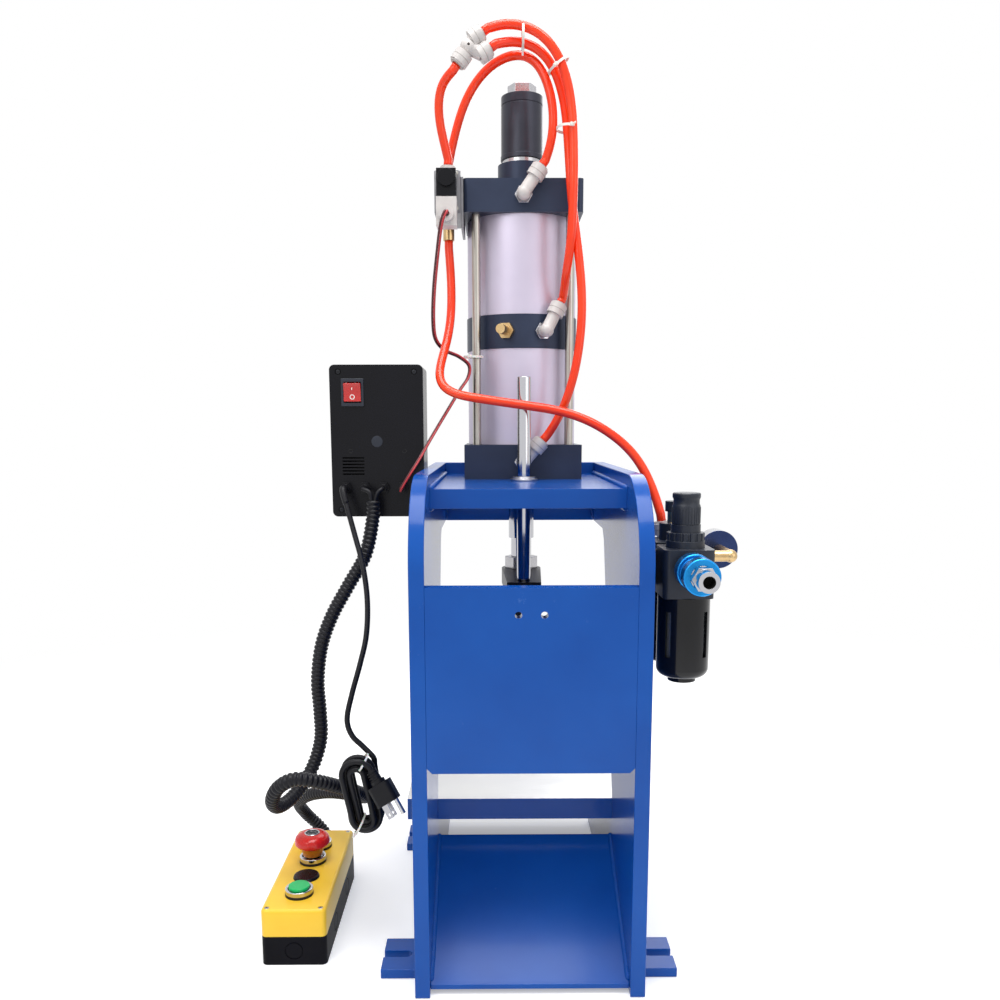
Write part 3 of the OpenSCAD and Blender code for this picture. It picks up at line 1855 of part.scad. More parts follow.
// Samples at equal steps of length along a polyline
function lengths(s) = [
  for (i = 0, sum = 0; i < len(s);
    i = i + 1, sum = i < len(s) ? sum + norm(s[i] - s[i - 1]) : sum) sum
];
function at_length(s, ls, x, k) =
  let (t = (x - ls[k]) / (ls[k + 1] - ls[k])) s[k] + (s[k + 1] - s[k]) * t;
function even_samples(s, n) =
  let (ls = lengths(s), whole = ls[len(ls) - 1])
  [
    for (i = 0, k = 0; i < n;
      i = i + 1,
      k = i < n ? search_up(ls, whole * i / (n - 1), k) : k)
      at_length(s, ls, whole * i / (n - 1), k)
  ];
function search_up(ls, x, k) =
  k < len(ls) - 2 && ls[k + 1] < x ? search_up(ls, x, k + 1) : k;

module conduit_tube() {
  fine = spline(conduit_route, 8);
  s = even_samples(fine, conduit_rings);
  t = ended(tangents(s), unit(conduit_route[1] - conduit_route[0]), [0, -1, 0]);
  n = normals(t);
  bores = [for (i = [0 : bore_steps : conduit_rings - 1]) i];
  outer = [
    for (i = [0 : conduit_rings - 1])
      each ring_points(s[i], t[i], n[i],
        i % 2 == 0 ? conduit_d / 2 - rib_h : conduit_d / 2, conduit_sides)
  ];
  inner = [
    for (i = bores) each ring_points(s[i], t[i], n[i], conduit_bore / 2, conduit_sides)
  ];
  skin = len(outer);
  last_outer = skin - conduit_sides;
  last_inner = skin + (len(bores) - 1) * conduit_sides;
  polyhedron(
    points = concat(outer, inner),
    faces = concat(
      side_faces(0, conduit_rings, conduit_sides, false),
      side_faces(skin, len(bores), conduit_sides, true),
      ring_faces(0, skin, conduit_sides, false),
      ring_faces(last_outer, last_inner, conduit_sides, true)
    )
  );
}
rib_h = 1.2;
function ring_faces(a, b, sides, flip) = [
  for (j = [0 : sides - 1])
    let (k = (j + 1) % sides)
    each flip
      ? [[a + j, b + k, a + k], [a + j, b + j, b + k]]
      : [[a + j, a + k, b + k], [a + j, b + k, b + j]]
];

module conduit() {
  mouth = conduit_route[0];
  mouth_dir = unit(conduit_route[1] - mouth);
  side = unit(cross(mouth_dir, [0, 1, 0]));
  color("black") {
    conduit_tube();
    for (i = [0, 1]) {
      shift = (2 * i - 1) * (lead_in_d / 2 + fit_gap) * side;
      inside = mouth + lead_in_d * mouth_dir + shift;
      outside = mouth - 2 * lead_in_d * mouth_dir + 2 * shift;
      hose(gland_tip(i + 1), [0, -1, 0], [outside], inside, -mouth_dir,
        lead_in_d, 3, wire_sides);
    }
  }
}
lead_in_d = 4.8;

// Power cord: free stretch, then the hank, then the plug

hank_dir_down = [sin(hank_tilt), 0, -cos(hank_tilt)];
hank_side = [cos(hank_tilt), 0, sin(hank_tilt)];
hank_start = hank_pos + hank_r * hank_side - hank_run / 2 * hank_dir_down;

module power_cord() {
  color("black")
    hose(gland_tip(0), [0, -1, 0], hung(cord_points), hank_start, -hank_dir_down,
      cord_d, 2, conduit_sides);
}

// One turn: a run down, a half round, a run up and a half round. The radius shrinks by one
// pitch a turn, and grows again after each climb to the next layer.
hank_in_r = hank_r - hank_turns_in * hank_pitch;
hank_run_share = hank_run / (2 * hank_run + PI * (hank_r + hank_in_r));
function hank_leg(u) = floor(u / hank_turns_in);
function hank_along(u) =
  let (v = u - hank_leg(u) * hank_turns_in)
  max(0, v - hank_run_share) / (hank_turns_in - hank_run_share);
function hank_radius(u) =
  let (a = hank_along(u))
  hank_leg(u) % 2 == 0
    ? hank_r + (hank_in_r - hank_r) * a
    : hank_in_r + (hank_r - hank_in_r) * a;
function eased(x) = x * x * (3 - 2 * x);
function hank_depth(u) =
  let (v = u - hank_leg(u) * hank_turns_in)
  hank_layer * (hank_leg(u) + eased(min(1, v / hank_run_share)));
function hank_flat(u) =
  let (
    r = hank_radius(u),
    phase = u - floor(u),
    half = phase < 0.5 ? phase : phase - 0.5,
    sign = phase < 0.5 ? 1 : -1,
    turn = 180 * (half - hank_run_share) / (0.5 - hank_run_share)
  )
  half < hank_run_share
    ? sign * [r, hank_run * (0.5 - half / hank_run_share)]
    : sign * [r * cos(turn), -hank_run / 2 - r * sin(turn)];
function hank_point(u) =
  let (p = hank_flat(u))
  hank_pos + p.x * hank_side - p.y * hank_dir_down - [0, hank_depth(u), 0];
hank_last = hank_turns - hank_end_short;
hank_count = round(hank_last * hank_steps);
hank_samples = [for (i = [0 : hank_count]) hank_point(hank_last * i / hank_count)];
hank_end_dir = unit(hank_samples[hank_count] - hank_samples[hank_count - 1]);
plug_dir = [
  cos(plug_forward) * sin(plug_lean), -sin(plug_forward), -cos(plug_forward) * cos(plug_lean)
];
hank_bend = hank_samples[hank_count] + plug_tail * hank_end_dir;
hank_bent = hank_bend + plug_tail * unit(hank_end_dir + plug_dir);
hank_tail = hank_bent + plug_tail * plug_dir;

module cord_hank() {
  s = concat(hank_samples, [hank_bend, hank_bent, hank_tail]);
  color("black")
    swept(s, hank_dir_down, plug_dir, cord_d / 2, hex_sides);
}

module power_plug() {
  body_z = plug_relief_l + plug_neck_l;
  color("black")
    translate(hank_tail)
      rotate([0, 180 - plug_lean, 0])
        rotate([plug_forward, 0, 0])
        difference() {
          union() {
            cylinder(d1 = plug_relief_d - 2 * over, d2 = plug_relief_d,
              h = plug_relief_l);
            translate([0, 0, plug_relief_l])
              cylinder(d = plug_neck_d, h = plug_neck_l + over);
            translate([0, 0, body_z])
              linear_extrude(plug_body_l)
                rounded_rect(plug_body_w, plug_body_t, plug_corner);
            for (y = [-1, 1])
              translate([
                blade_in - blade_w / 2, y * blade_gap / 2 - blade_t / 2,
                body_z + plug_body_l - over
              ])
                cube([blade_w, blade_t, blade_l + over]);
            translate([-earth_pin_off, 0, body_z + plug_body_l - over])
              cylinder(d = earth_pin_d, h = earth_pin_l + over);
          }
          translate([
            blade_in, -blade_gap, body_z + plug_body_l + blade_hole_up
          ])
            along_y()
              cylinder(d = blade_w / 2, h = 2 * blade_gap);
        }
}

side_plates();
rear_panel();
head_plate();
front_cross_plates();
work_table();
discharge_chute();
mounting_feet();
lower_cap();
cylinder_tubes();
middle_ring();
upper_cap();
tie_rods();
rod_bushings();
guide_bushing();
cap_screws();
piston_rod();
pistons();
piston_seals();
stop_bumper();
adjuster_sleeve();
rod_nuts();
link_plate();
guide_rod();
tool_holder();
valve_body();
valve_coil();
valve_connector();
brackets();
port_nipples();
push_in_fittings();
hose_splitter();
brass_fittings();
cylinder_hoses();
supply_hose();
signal_lead();
control_box();
control_box_lid();
rocker_bezel();
rocker_switch();
cable_glands();
filter_regulator();
lubricator();
unit_bowls();
regulator_knob();
pressure_gauge();
gauge_needle();
shutoff_valve();
shutoff_sleeve();
station_base();
station_lid();
station_bezels();
start_button_near();
start_button_far();
stop_button();
stop_stem();
blank_plug();
conduit();
power_cord();
cord_hank();
power_plug();
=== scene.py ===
from math import cos, hypot, pi, radians, sin
import bpy
import bmesh
from mathutils import Matrix, Vector, noise


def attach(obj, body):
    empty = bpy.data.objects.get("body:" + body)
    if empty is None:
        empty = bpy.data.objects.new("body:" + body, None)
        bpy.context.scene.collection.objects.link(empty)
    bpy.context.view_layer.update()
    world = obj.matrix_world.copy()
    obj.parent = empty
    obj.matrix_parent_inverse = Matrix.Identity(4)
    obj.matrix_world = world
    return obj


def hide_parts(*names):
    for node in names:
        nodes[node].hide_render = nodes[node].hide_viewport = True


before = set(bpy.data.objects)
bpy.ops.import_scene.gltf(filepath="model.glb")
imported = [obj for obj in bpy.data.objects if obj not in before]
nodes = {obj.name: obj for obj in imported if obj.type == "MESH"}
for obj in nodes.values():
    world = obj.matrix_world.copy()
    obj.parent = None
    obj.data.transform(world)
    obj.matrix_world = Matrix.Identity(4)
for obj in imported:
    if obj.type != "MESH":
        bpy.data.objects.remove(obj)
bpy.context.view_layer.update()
scene = bpy.context.scene
print("frame loaded:", len(nodes), "nodes")


# small helpers

def mm(*values):
    # millimetres to a point in metres
    return Vector(values) / 1000


def hexToLinear(code):
    channels = [int(code[i:i + 2], 16) / 255 for i in (0, 2, 4)]
    return (*[c / 12.92 if c <= 0.04045 else ((c + 0.055) / 1.055) ** 2.4 for c in channels], 1)


def addNode(material, kind, sockets=None, **settings):
    # one node, its settings, and what goes into its sockets: a value or another node's output
    node = material.node_tree.nodes.new(kind)
    for key, value in settings.items():
        setattr(node, key, value)
    for key, value in (sockets or {}).items():
        if isinstance(value, bpy.types.NodeSocket):
            material.node_tree.links.new(value, node.inputs[key])
        else:
            node.inputs[key].default_value = value
    return node


def blankMaterial(name):
    material = bpy.data.materials.new(name)
    material.use_nodes = True
    material.node_tree.nodes.clear()
    return material


socketNames = {"ior": "IOR", "specular": "Specular IOR Level", "coat": "Coat Weight",
               "coatRoughness": "Coat Roughness", "transmission": "Transmission Weight",
               "subsurface": "Subsurface Weight", "subsurfaceScale": "Subsurface Scale"}


def finish(name, colour, colour2=None, roughness=0.5, metallic=0.0, glossSpread=0.06, driftMm=60,
           grainMm=1.2, stretch=(1, 1, 1), relief=0.25, reliefMm=0.05, scuffs=None, **extra):
    # two tones that drift into each other, fine grain in gloss and height, thin dull rubs if given;
    # a texture's scale is 1000 over its size in mm
    material = blankMaterial(name)
    place = addNode(material, "ShaderNodeTexCoord").outputs["Object"]
    stretched = addNode(material, "ShaderNodeMapping", {"Vector": place, "Scale": stretch})
    drift = addNode(material, "ShaderNodeTexNoise", {
        "Vector": place, "Scale": 1000 / driftMm, "Detail": 3.0, "Roughness": 0.55})
    grain = addNode(material, "ShaderNodeTexNoise", {
        "Vector": stretched.outputs["Vector"], "Scale": 1000 / grainMm, "Detail": 4.0,
        "Roughness": 0.6})
    tone = addNode(material, "ShaderNodeMapRange", {
        "Value": drift.outputs["Fac"], "From Min": 0.3, "From Max": 0.7})
    tint = addNode(material, "ShaderNodeMix", {
        0: tone.outputs["Result"], 6: hexToLinear(colour), 7: hexToLinear(colour2 or colour)},
        data_type="RGBA")
    if scuffs:
        rubColour, sizeMm, amount = scuffs
        rub = addNode(material, "ShaderNodeTexNoise", {
            "Vector": place, "Scale": 1000 / sizeMm, "Detail": 8.0, "Roughness": 0.75})
        sparse = addNode(material, "ShaderNodeMapRange", {
            "Value": rub.outputs["Fac"], "From Min": 0.66, "From Max": 0.78, "To Max": amount})
        tint = addNode(material, "ShaderNodeMix", {
            0: sparse.outputs["Result"], 6: tint.outputs[2], 7: hexToLinear(rubColour)},
            data_type="RGBA")
    gloss = addNode(material, "ShaderNodeMapRange", {
        "Value": grain.outputs["Fac"], "From Min": 0.25, "From Max": 0.75,
        "To Min": max(0.02, roughness - glossSpread), "To Max": roughness + glossSpread})
    height = addNode(material, "ShaderNodeBump", {
        "Height": grain.outputs["Fac"], "Strength": relief, "Distance": reliefMm / 1000})
    shader = addNode(material, "ShaderNodeBsdfPrincipled", {
        "Base Color": tint.outputs[2], "Metallic": metallic, "Roughness": gloss.outputs["Result"],
        "Normal": height.outputs["Normal"]})
    for key, value in extra.items():
        shader.inputs[socketNames[key]].default_value = value
    addNode(material, "ShaderNodeOutputMaterial", {"Surface": shader.outputs["BSDF"]})
    return material


def unit(v):
    return v.normalized()


def smoothPath(points, steps):
    # the same curve as part.scad draws through its points
    points = [Vector(p) for p in points]
    found = []
    last = len(points) - 1
    for i in range(last):
        a, b, c, d = points[max(i - 1, 0)], points[i], points[i + 1], points[min(i + 2, last)]
        for j in range(steps):
            t = j / steps
            found.append(0.5 * (2 * b + (c - a) * t + (2 * a - 5 * b + 4 * c - d) * t * t
                                + (3 * b - a - 3 * c + d) * t ** 3))
    found.append(points[last])
    return found


def evenPath(path, count):
    # count points at equal steps of length along a path
    sums = [0.0]
    for a, b in zip(path, path[1:]):
        sums.append(sums[-1] + (b - a).length)
    found, k = [], 0
    for i in range(count):
        x = sums[-1] * i / (count - 1)
        while k < len(path) - 2 and sums[k + 1] < x:
            k += 1
        t = (x - sums[k]) / (sums[k + 1] - sums[k])
        found.append(path[k].lerp(path[k + 1], t))
    return found


def relaxed(path, rounds, held=3):
    # takes kinks out of a path; its first and last few points stay
    for _ in range(rounds):
        path = path[:held] + [(path[i - 1] + 2 * path[i] + path[i + 1]) / 4
                              for i in range(held, len(path) - held)] + path[-held:]
    return path


def pathLength(path):
    return sum((b - a).length for a, b in zip(path, path[1:]))


def addObject(name, data):
    piece = bpy.data.objects.new(name, data)
    scene.collection.objects.link(piece)
    return piece


def meshObject(name, points, faces, material):
    mesh = bpy.data.meshes.new(name)
    mesh.from_pydata(points, [], faces)
    mesh.materials.append(material)
    mesh.shade_smooth()
    return addObject(name, mesh)


def formObject(name, form, material, sharpAngle):
    # a bmesh as an object, smooth but for the edges above the angle
    mesh = bpy.data.meshes.new(name)
    form.to_mesh(mesh)
    form.free()
    mesh.materials.append(material)
    mesh.shade_smooth()
    mesh.set_sharp_from_angle(angle=radians(sharpAngle))
    return addObject(name, mesh)


def tubeFrames(path):
    # tangent and two cross directions at each point, without twist
    found, n = [], None
    for i in range(len(path)):
        t = unit(path[min(i + 1, len(path) - 1)] - path[max(i - 1, 0)])
        if n is None:
            n = unit(t.cross(Vector((0, 1, 0)) if abs(t.y) < 0.9 else Vector((0, 0, 1))))
        n = unit(n - n.dot(t) * t)
        found.append((t, n, t.cross(n)))
    return found


def ringFaces(count, sides, closed=False):
    # quads between neighbouring rings of points, and from the last to the first if closed
    found = []
    for i in range(count if closed else count - 1):
        for j in range(sides):
            k, m = (i + 1) % count, (j + 1) % sides
            found.append((i * sides + j, i * sides + m, k * sides + m, k * sides + j))
    return found


def tube(name, path, radius, sides, material, capped=True):
    # a round tube along a path; radius is a number or one number for each point
    points, faces = [], ringFaces(len(path), sides)
    for i, (t, n, b) in enumerate(tubeFrames(path)):
        r = radius[i] if isinstance(radius, list) else radius
        for j in range(sides):
            a = 2 * pi * j / sides
            points.append(path[i] + r * (cos(a) * n + sin(a) * b))
    if capped:
        faces.append(tuple(reversed(range(sides))))
        faces.append(tuple(range((len(path) - 1) * sides, len(path) * sides)))
    return meshObject(name, points, faces, material)


def addModifier(piece, kind, **settings):
    modifier = piece.modifiers.new(kind.lower(), kind)
    for key, value in settings.items():
        setattr(modifier, key, value)


def soften(piece, widthMm, segments, angle):
    # joins the imported corners, makes each flat face one face again and rounds the sharp edges
    if "custom_normal" in piece.data.attributes:
        piece.data.attributes.remove(piece.data.attributes["custom_normal"])
    addModifier(piece, "WELD", merge_threshold=0.00001)
    addModifier(piece, "DECIMATE", decimate_type="DISSOLVE", angle_limit=radians(0.4),
                delimit={"MATERIAL"})
    if widthMm:
        addModifier(piece, "BEVEL", width=widthMm / 1000, segments=segments,
                    limit_method="ANGLE", angle_limit=radians(angle), harden_normals=True,
                    use_clamp_overlap=True)
    else:
        addModifier(piece, "EDGE_SPLIT", split_angle=radians(angle))
    piece.data.shade_smooth()


def dress(node, material, edgeMm=0.4, segments=2, angle=38):
    # a CAD node keeps its shape and gets its real finish
    piece = nodes[node]
    piece.data.materials.clear()
    piece.data.materials.append(material)
    soften(piece, edgeMm, segments, angle)
    return piece


def onFaces(piece, material, test):
    # a second finish on the faces whose centre (in mm) and normal pass the test
    piece.data.materials.append(material)
    index = len(piece.data.materials) - 1
    for face in piece.data.polygons:
        if test(face.center * 1000, face.normal):
            face.material_index = index


def standAlong(piece, at, direction):
    # stands a made piece in its place with its Z axis in direction: the mesh moves, not the object
    turn = Vector((0, 0, 1)).rotation_difference(unit(direction)).to_matrix().to_4x4()
    piece.data.transform(Matrix.Translation(at) @ turn)
    return piece


def lathe(name, profile, material, steps=48, at=None, direction=Vector((0, 0, 1))):
    # turned piece round its axis; profile is (radius, height) in mm, at is in metres
    form = bmesh.new()
    rings = []
    for r, h in profile:
        turns = [2 * pi * i / steps for i in range(steps if r > 0 else 1)]
        rings.append([form.verts.new(mm(r * cos(a), r * sin(a), h)) for a in turns])
    for low, high in zip(rings, rings[1:]):
        for i in range(steps):
            k = (i + 1) % steps
            # a ring on the axis is one point, which counts once
            form.faces.new(tuple(dict.fromkeys((low[i % len(low)], low[k % len(low)],
                                                high[k % len(high)], high[i % len(high)]))))
    bmesh.ops.recalc_face_normals(form, faces=form.faces)
    piece = formObject(name, form, material, 32)
    return standAlong(piece, at, direction) if at else piece


def block(name, low, high, material, edgeMm=0.5, segments=3):
    # a small rectangular piece with rounded edges, corners in mm
    form = bmesh.new()
    bmesh.ops.create_cube(form, size=1)
    for v in form.verts:
        for i in range(3):
            v.co[i] = (low[i] + high[i]) / 2000 + v.co[i] * (high[i] - low[i]) / 1000
    bmesh.ops.bevel(form, geom=list(form.edges), offset=edgeMm / 1000, segments=segments,
                    profile=0.6, affect="EDGES")
    return formObject(name, form, material, 40)


def joined(name, pieces):
    # several made pieces as one object
    form = bmesh.new()
    slots = list(dict.fromkeys(m for piece in pieces for m in piece.data.materials))
    for piece in pieces:
        start = len(form.faces)
        form.from_mesh(piece.data)
        form.faces.ensure_lookup_table()
        places = [slots.index(m) for m in piece.data.materials]
        for face in form.faces[start:]:
            face.material_index = places[face.material_index]
    mesh = bpy.data.meshes.new(name)
    form.to_mesh(mesh)
    form.free()
    for m in slots:
        mesh.materials.append(m)
    mesh.set_sharp_from_angle(angle=radians(32))
    for piece in pieces:
        bpy.data.objects.remove(piece)
    return addObject(name, mesh)


# camera: the photograph's viewpoint, behind the press and a little above its middle

viewpoint = {"at": mm(-35, -1052.3, 563), "down": 8.9, "right": 0.39, "roll": 0.1,
             "lens": 33.12, "shiftUp": 0.072}
camera = addObject("camera", bpy.data.cameras.new("camera"))
camera.data.lens = viewpoint["lens"]
camera.data.sensor_width = 36
camera.data.shift_y = viewpoint["shiftUp"]
camera.data.clip_end = 20
camera.location = viewpoint["at"]
camera.rotation_euler = (radians(90 - viewpoint["down"]), radians(viewpoint["roll"]),
                         radians(-viewpoint["right"]))
scene.camera = camera
print("camera set")


# finishes

# moulded PVC sheath: soft black, dull, with faint handling marks
sheathPvc = finish("sheathPvc", "111115", "17171c", roughness=0.42, driftMm=30, grainMm=1.5,
                   relief=0.15, ior=1.53, specular=0.2)
# corrugated polyamide conduit: black, slightly shinier on the ribs
conduitNylon = finish("conduitNylon", "121217", "1b1b21", roughness=0.38, driftMm=40, grainMm=2,
                      relief=0.12, ior=1.53, specular=0.2)
# vinyl wire insulation
redWirePvc = finish("redWirePvc", "a8222a", "bd3038", roughness=0.35, grainMm=1, ior=1.53)
blackWirePvc = finish("blackWirePvc", "43181d", "571f25", roughness=0.4, grainMm=1, ior=1.53)
# extruded polyurethane hose: vivid orange-red, wet gloss, light goes a little way in
hosePolyurethane = finish("hosePolyurethane", "f9350e", "ff4518", roughness=0.16, glossSpread=0.04,
                          driftMm=80, grainMm=3, relief=0.05, ior=1.5, specular=0.35, coat=0.12,
                          coatRoughness=0.05, subsurface=0.12, subsurfaceScale=0.002)
# moulded acetal fittings: off-white, satin
fittingAcetal = finish("fittingAcetal", "c6c1bf", "d3cecb", roughness=0.36, driftMm=12, grainMm=1,
                       relief=0.12, ior=1.48)
# release rings of the push-in fittings, a shade greyer
ringAcetal = finish("ringAcetal", "a9a4a0", roughness=0.34, grainMm=1, ior=1.48)
# natural nylon cable ties, milky
tieNylon = finish("tieNylon", "e9e6e0", roughness=0.4, grainMm=1.5, ior=1.53, subsurface=0.2,
                  subsurfaceScale=0.001)

# stove enamel over welded plate: deep royal blue, glossy, a faint orange peel and thin spots
enamelLook = {"colour": "0d4ba0", "colour2": "1255ad", "roughness": 0.2, "glossSpread": 0.05,
              "driftMm": 120, "ior": 1.5, "specular": 0.2, "coat": 0.06, "coatRoughness": 0.08}
frameEnamel = finish("frameEnamel", **enamelLook, grainMm=4, relief=0.07, reliefMm=0.25,
                     scuffs=("5c86c4", 18, 0.5))
weldEnamel = finish("weldEnamel", **enamelLook, grainMm=2.5, relief=0.35, reliefMm=0.4)

# ground tool steel table: bright, fine lines across from the grinding wheel
tableSteel = finish("tableSteel", "d4d5d8", "dededf", metallic=1.0, roughness=0.22, driftMm=90,
                    stretch=(0.04, 1, 1), relief=0.08)
# drawn, zinc-plated rods and nuts: greyish with a hint of straw
platedSteel = finish("platedSteel", "aca79f", "b9b5ae", metallic=1.0, roughness=0.32,
                     grainMm=1.5, stretch=(1, 1, 0.06), relief=0.2)
# machined bright nut and bumper
turnedSteel = finish("turnedSteel", "b4b3b6", "bfbec2", metallic=1.0, roughness=0.26, driftMm=20,
                     grainMm=0.8, stretch=(1, 1, 4), relief=0.15)
# hard chrome on ground rods: mirror with a trace of grinding
hardChrome = finish("hardChrome", "c3c3c8", metallic=1.0, roughness=0.11, glossSpread=0.03,
                    stretch=(1, 1, 3), relief=0.05)
# black oxide on steel: nearly black, low sheen
oxideSteel = finish("oxideSteel", "26272b", "303136", metallic=0.8, roughness=0.4, driftMm=20,
                    grainMm=0.8, relief=0.3)
# honed and clear-anodised tube: pale, with the faint lilac of anodic film
clearAnodised = finish("clearAnodised", "c4bccf", "cec6d8", metallic=0.55, roughness=0.42,
                       driftMm=70, stretch=(1, 1, 0.3), relief=0.08)
# milled and hard-anodised blocks: blue-black, fine-grained
hardAnodised = finish("hardAnodised", "252e44", "2c364d", metallic=0.45, roughness=0.4, driftMm=50,
                      grainMm=0.7)
# turned sleeve, same film but browner and with lathe lines
sleeveAnodised = finish("sleeveAnodised", "34353f", "3b3c47", metallic=0.6, roughness=0.36,
                        driftMm=30, grainMm=0.8, stretch=(0.3, 0.3, 2.5))
# dyed blue anodised slide sleeve: bright candy blue
blueAnodised = finish("blueAnodised", "1a80c8", "2492da", metallic=0.85, roughness=0.24, driftMm=15,
                      grainMm=0.8, stretch=(1, 3, 1), relief=0.1)
# die-cast zinc: light grey, tumbled
castZinc = finish("castZinc", "858488", "939296", metallic=0.75, roughness=0.42, driftMm=10,
                  grainMm=0.7, relief=0.4)
# turned brass
turnedBrass = finish("turnedBrass", "c2a273", "cdb284", metallic=1.0, roughness=0.3, driftMm=10,
                     grainMm=0.7, relief=0.2)
# sintered bronze of a silencer: grainy, matt
sinteredBronze = finish("sinteredBronze", "a8804e", "8d6a3e", metallic=0.8, roughness=0.55,
                        driftMm=2, grainMm=0.6, relief=0.9, reliefMm=0.3)
# moulded ABS housing: black, fine spark texture
housingAbs = finish("housingAbs", "0b0b10", "0e0e14", roughness=0.26, grainMm=0.6,
                    relief=0.12, ior=1.5, specular=0.2)
# the same plastic with a coarser spark texture, duller, for the station's base
textureAbs = finish("textureAbs", "0f0f14", "131319", roughness=0.5, grainMm=0.8,
                    relief=0.3, ior=1.5, specular=0.06)
# glass-filled nylon of the air unit: charcoal, satin
unitNylon = finish("unitNylon", "1e222c", "262b36", roughness=0.4, driftMm=25, grainMm=0.6,
                   relief=0.3, ior=1.53, specular=0.35)
# painted bowl guard: black gloss
bowlPaint = finish("bowlPaint", "09090d", "0d0d12", roughness=0.2, driftMm=30, grainMm=1.5,
                   relief=0.06, ior=1.5, specular=0.2, coat=0.3, coatRoughness=0.06)
# yellow ABS lid: warm, satin, slightly darker where handled
lidAbs = finish("lidAbs", "fdcf3e", "f9c735", roughness=0.34, driftMm=50, grainMm=0.7,
                ior=1.52, specular=0.35, subsurface=0.05, subsurfaceScale=0.002)
# green polycarbonate button lens: deep gloss
buttonGreen = finish("buttonGreen", "06b45a", "10c069", roughness=0.14, glossSpread=0.03, grainMm=2,
                     relief=0.03, ior=1.58, specular=0.2, coat=0.1, coatRoughness=0.04)
# red moulded mushroom head
mushroomRed = finish("mushroomRed", "d81f1c", "e02b24", roughness=0.25, grainMm=1.5, relief=0.06,
                     ior=1.52, specular=0.3, coat=0.2, coatRoughness=0.1)
# amber moulded neck under the mushroom head
collarAmber = finish("collarAmber", "b86a12", "c97a18", roughness=0.3, grainMm=1.5, relief=0.05,
                     ior=1.52)
# translucent red rocker
rockerRed = finish("rockerRed", "c0120f", "d41a14", roughness=0.1, glossSpread=0.02, grainMm=2,
                   relief=0.02, ior=1.58, coat=0.3, coatRoughness=0.03, subsurface=0.15,
                   subsurfaceScale=0.001)
# white print on the rocker, black print on the dial and the dial's own white paint
printWhite = finish("printWhite", "f2efe9", roughness=0.5, grainMm=1)
printBlack = finish("printBlack", "18181a", roughness=0.5, grainMm=1)
dialPaint = finish("dialPaint", "f1f1ee", roughness=0.45, grainMm=2, relief=0.05)
# pressed steel back of the gauge case: dark blue lacquer over bright plate
caseLacquer = finish("caseLacquer", "2b3861", "33426e", metallic=0.85, roughness=0.22, driftMm=15,
                     grainMm=0.8, relief=0.06)
# nitrile rubber of the piston seals
sealRubber = finish("sealRubber", "141416", roughness=0.6, grainMm=0.8, ior=1.52, specular=0.3)
# painted shade: a dark matte finish put in recesses, holes and bores, standing in for the shade
# inside them
recessShadePaint = finish("recessShadePaint", "0b0b0c", roughness=0.8, grainMm=1)
# clear lens and smoky inner bowl
lensAcrylic = finish("lensAcrylic", "fbfcfc", roughness=0.04, glossSpread=0.02, grainMm=3,
                     relief=0.01, ior=1.49, transmission=1.0)
bowlPolycarbonate = finish("bowlPolycarbonate", "8f959b", roughness=0.12, grainMm=3, relief=0.02,
                           ior=1.58, transmission=0.6)
print("finishes made")


# hoses, wires and cords: the routes of part.scad

up, down, back = Vector((0, 0, 1)), Vector((0, 0, -1)), Vector((0, -1, 0))


def turned(v, yaw):
    c, s = cos(radians(yaw)), sin(radians(yaw))
    return Vector((v.x * c - v.y * s, v.x * s + v.y * c, v.z))


def tilted(roll):
    # a direction in the photograph's plane, roll degrees up from the right
    return Vector((cos(radians(roll)), 0, sin(radians(roll))))


port = {"reach": 34, "centre": 12, "axisY": 123.5, "capY": 53.5, "lowZ": 522.5, "ringZ": 675.5,
        "topZ": 826.5, "topY": 54.5, "ringYaw": 20, "ringR": 67.5,
        "lowRoll": 49, "ringRoll": 62, "topRoll": 55, "unitRoll": 80, "unitX": 154.5,
        "unitY": -61, "unitZ": 428, "valveX": -87, "valveTop": 859, "valveIn": 780}


def elbowMouth(at, yaw, roll):
    # where an elbow ends, and in which direction
    inside = port["centre"] * back + port["reach"] * tilted(roll)
    return Vector(at) + turned(inside, yaw), turned(tilted(roll), yaw)


ringPort = (Vector((0, port["axisY"], port["ringZ"]))
            + turned(port["ringR"] * back, port["ringYaw"]))
lowMouth = elbowMouth((0, port["capY"], port["lowZ"]), 0, port["lowRoll"])
ringMouth = elbowMouth(ringPort, port["ringYaw"], port["ringRoll"])
topMouth = elbowMouth((0, port["topY"], port["topZ"]), 0, port["topRoll"])
unitMouth = elbowMouth((port["unitX"], port["unitY"], port["unitZ"]), 180, port["unitRoll"])
splitter = {"at": Vector((-61, 26, 972.5)), "inAngle": 233, "inLength": 21.5, "outAngle": 33,
            "up": Vector((2.6, 0, 7.2)), "low": Vector((11, 0, -8.8)), "collar": 14}
inward, outward = tilted(splitter["inAngle"]), tilted(splitter["outAngle"])
splitIn = (splitter["at"] + splitter["inLength"] * inward, inward)
splitUp = (splitter["at"] + splitter["up"] + splitter["collar"] * outward, outward)
splitLow = (splitter["at"] + splitter["low"] + splitter["collar"] * outward, outward)
valveNear = (Vector((port["valveX"], 64, port["valveTop"])), up)
valveFar = (Vector((port["valveX"], 96, port["valveTop"])), up)
valveIn = (Vector((port["valveX"], 75, port["valveIn"])), down)

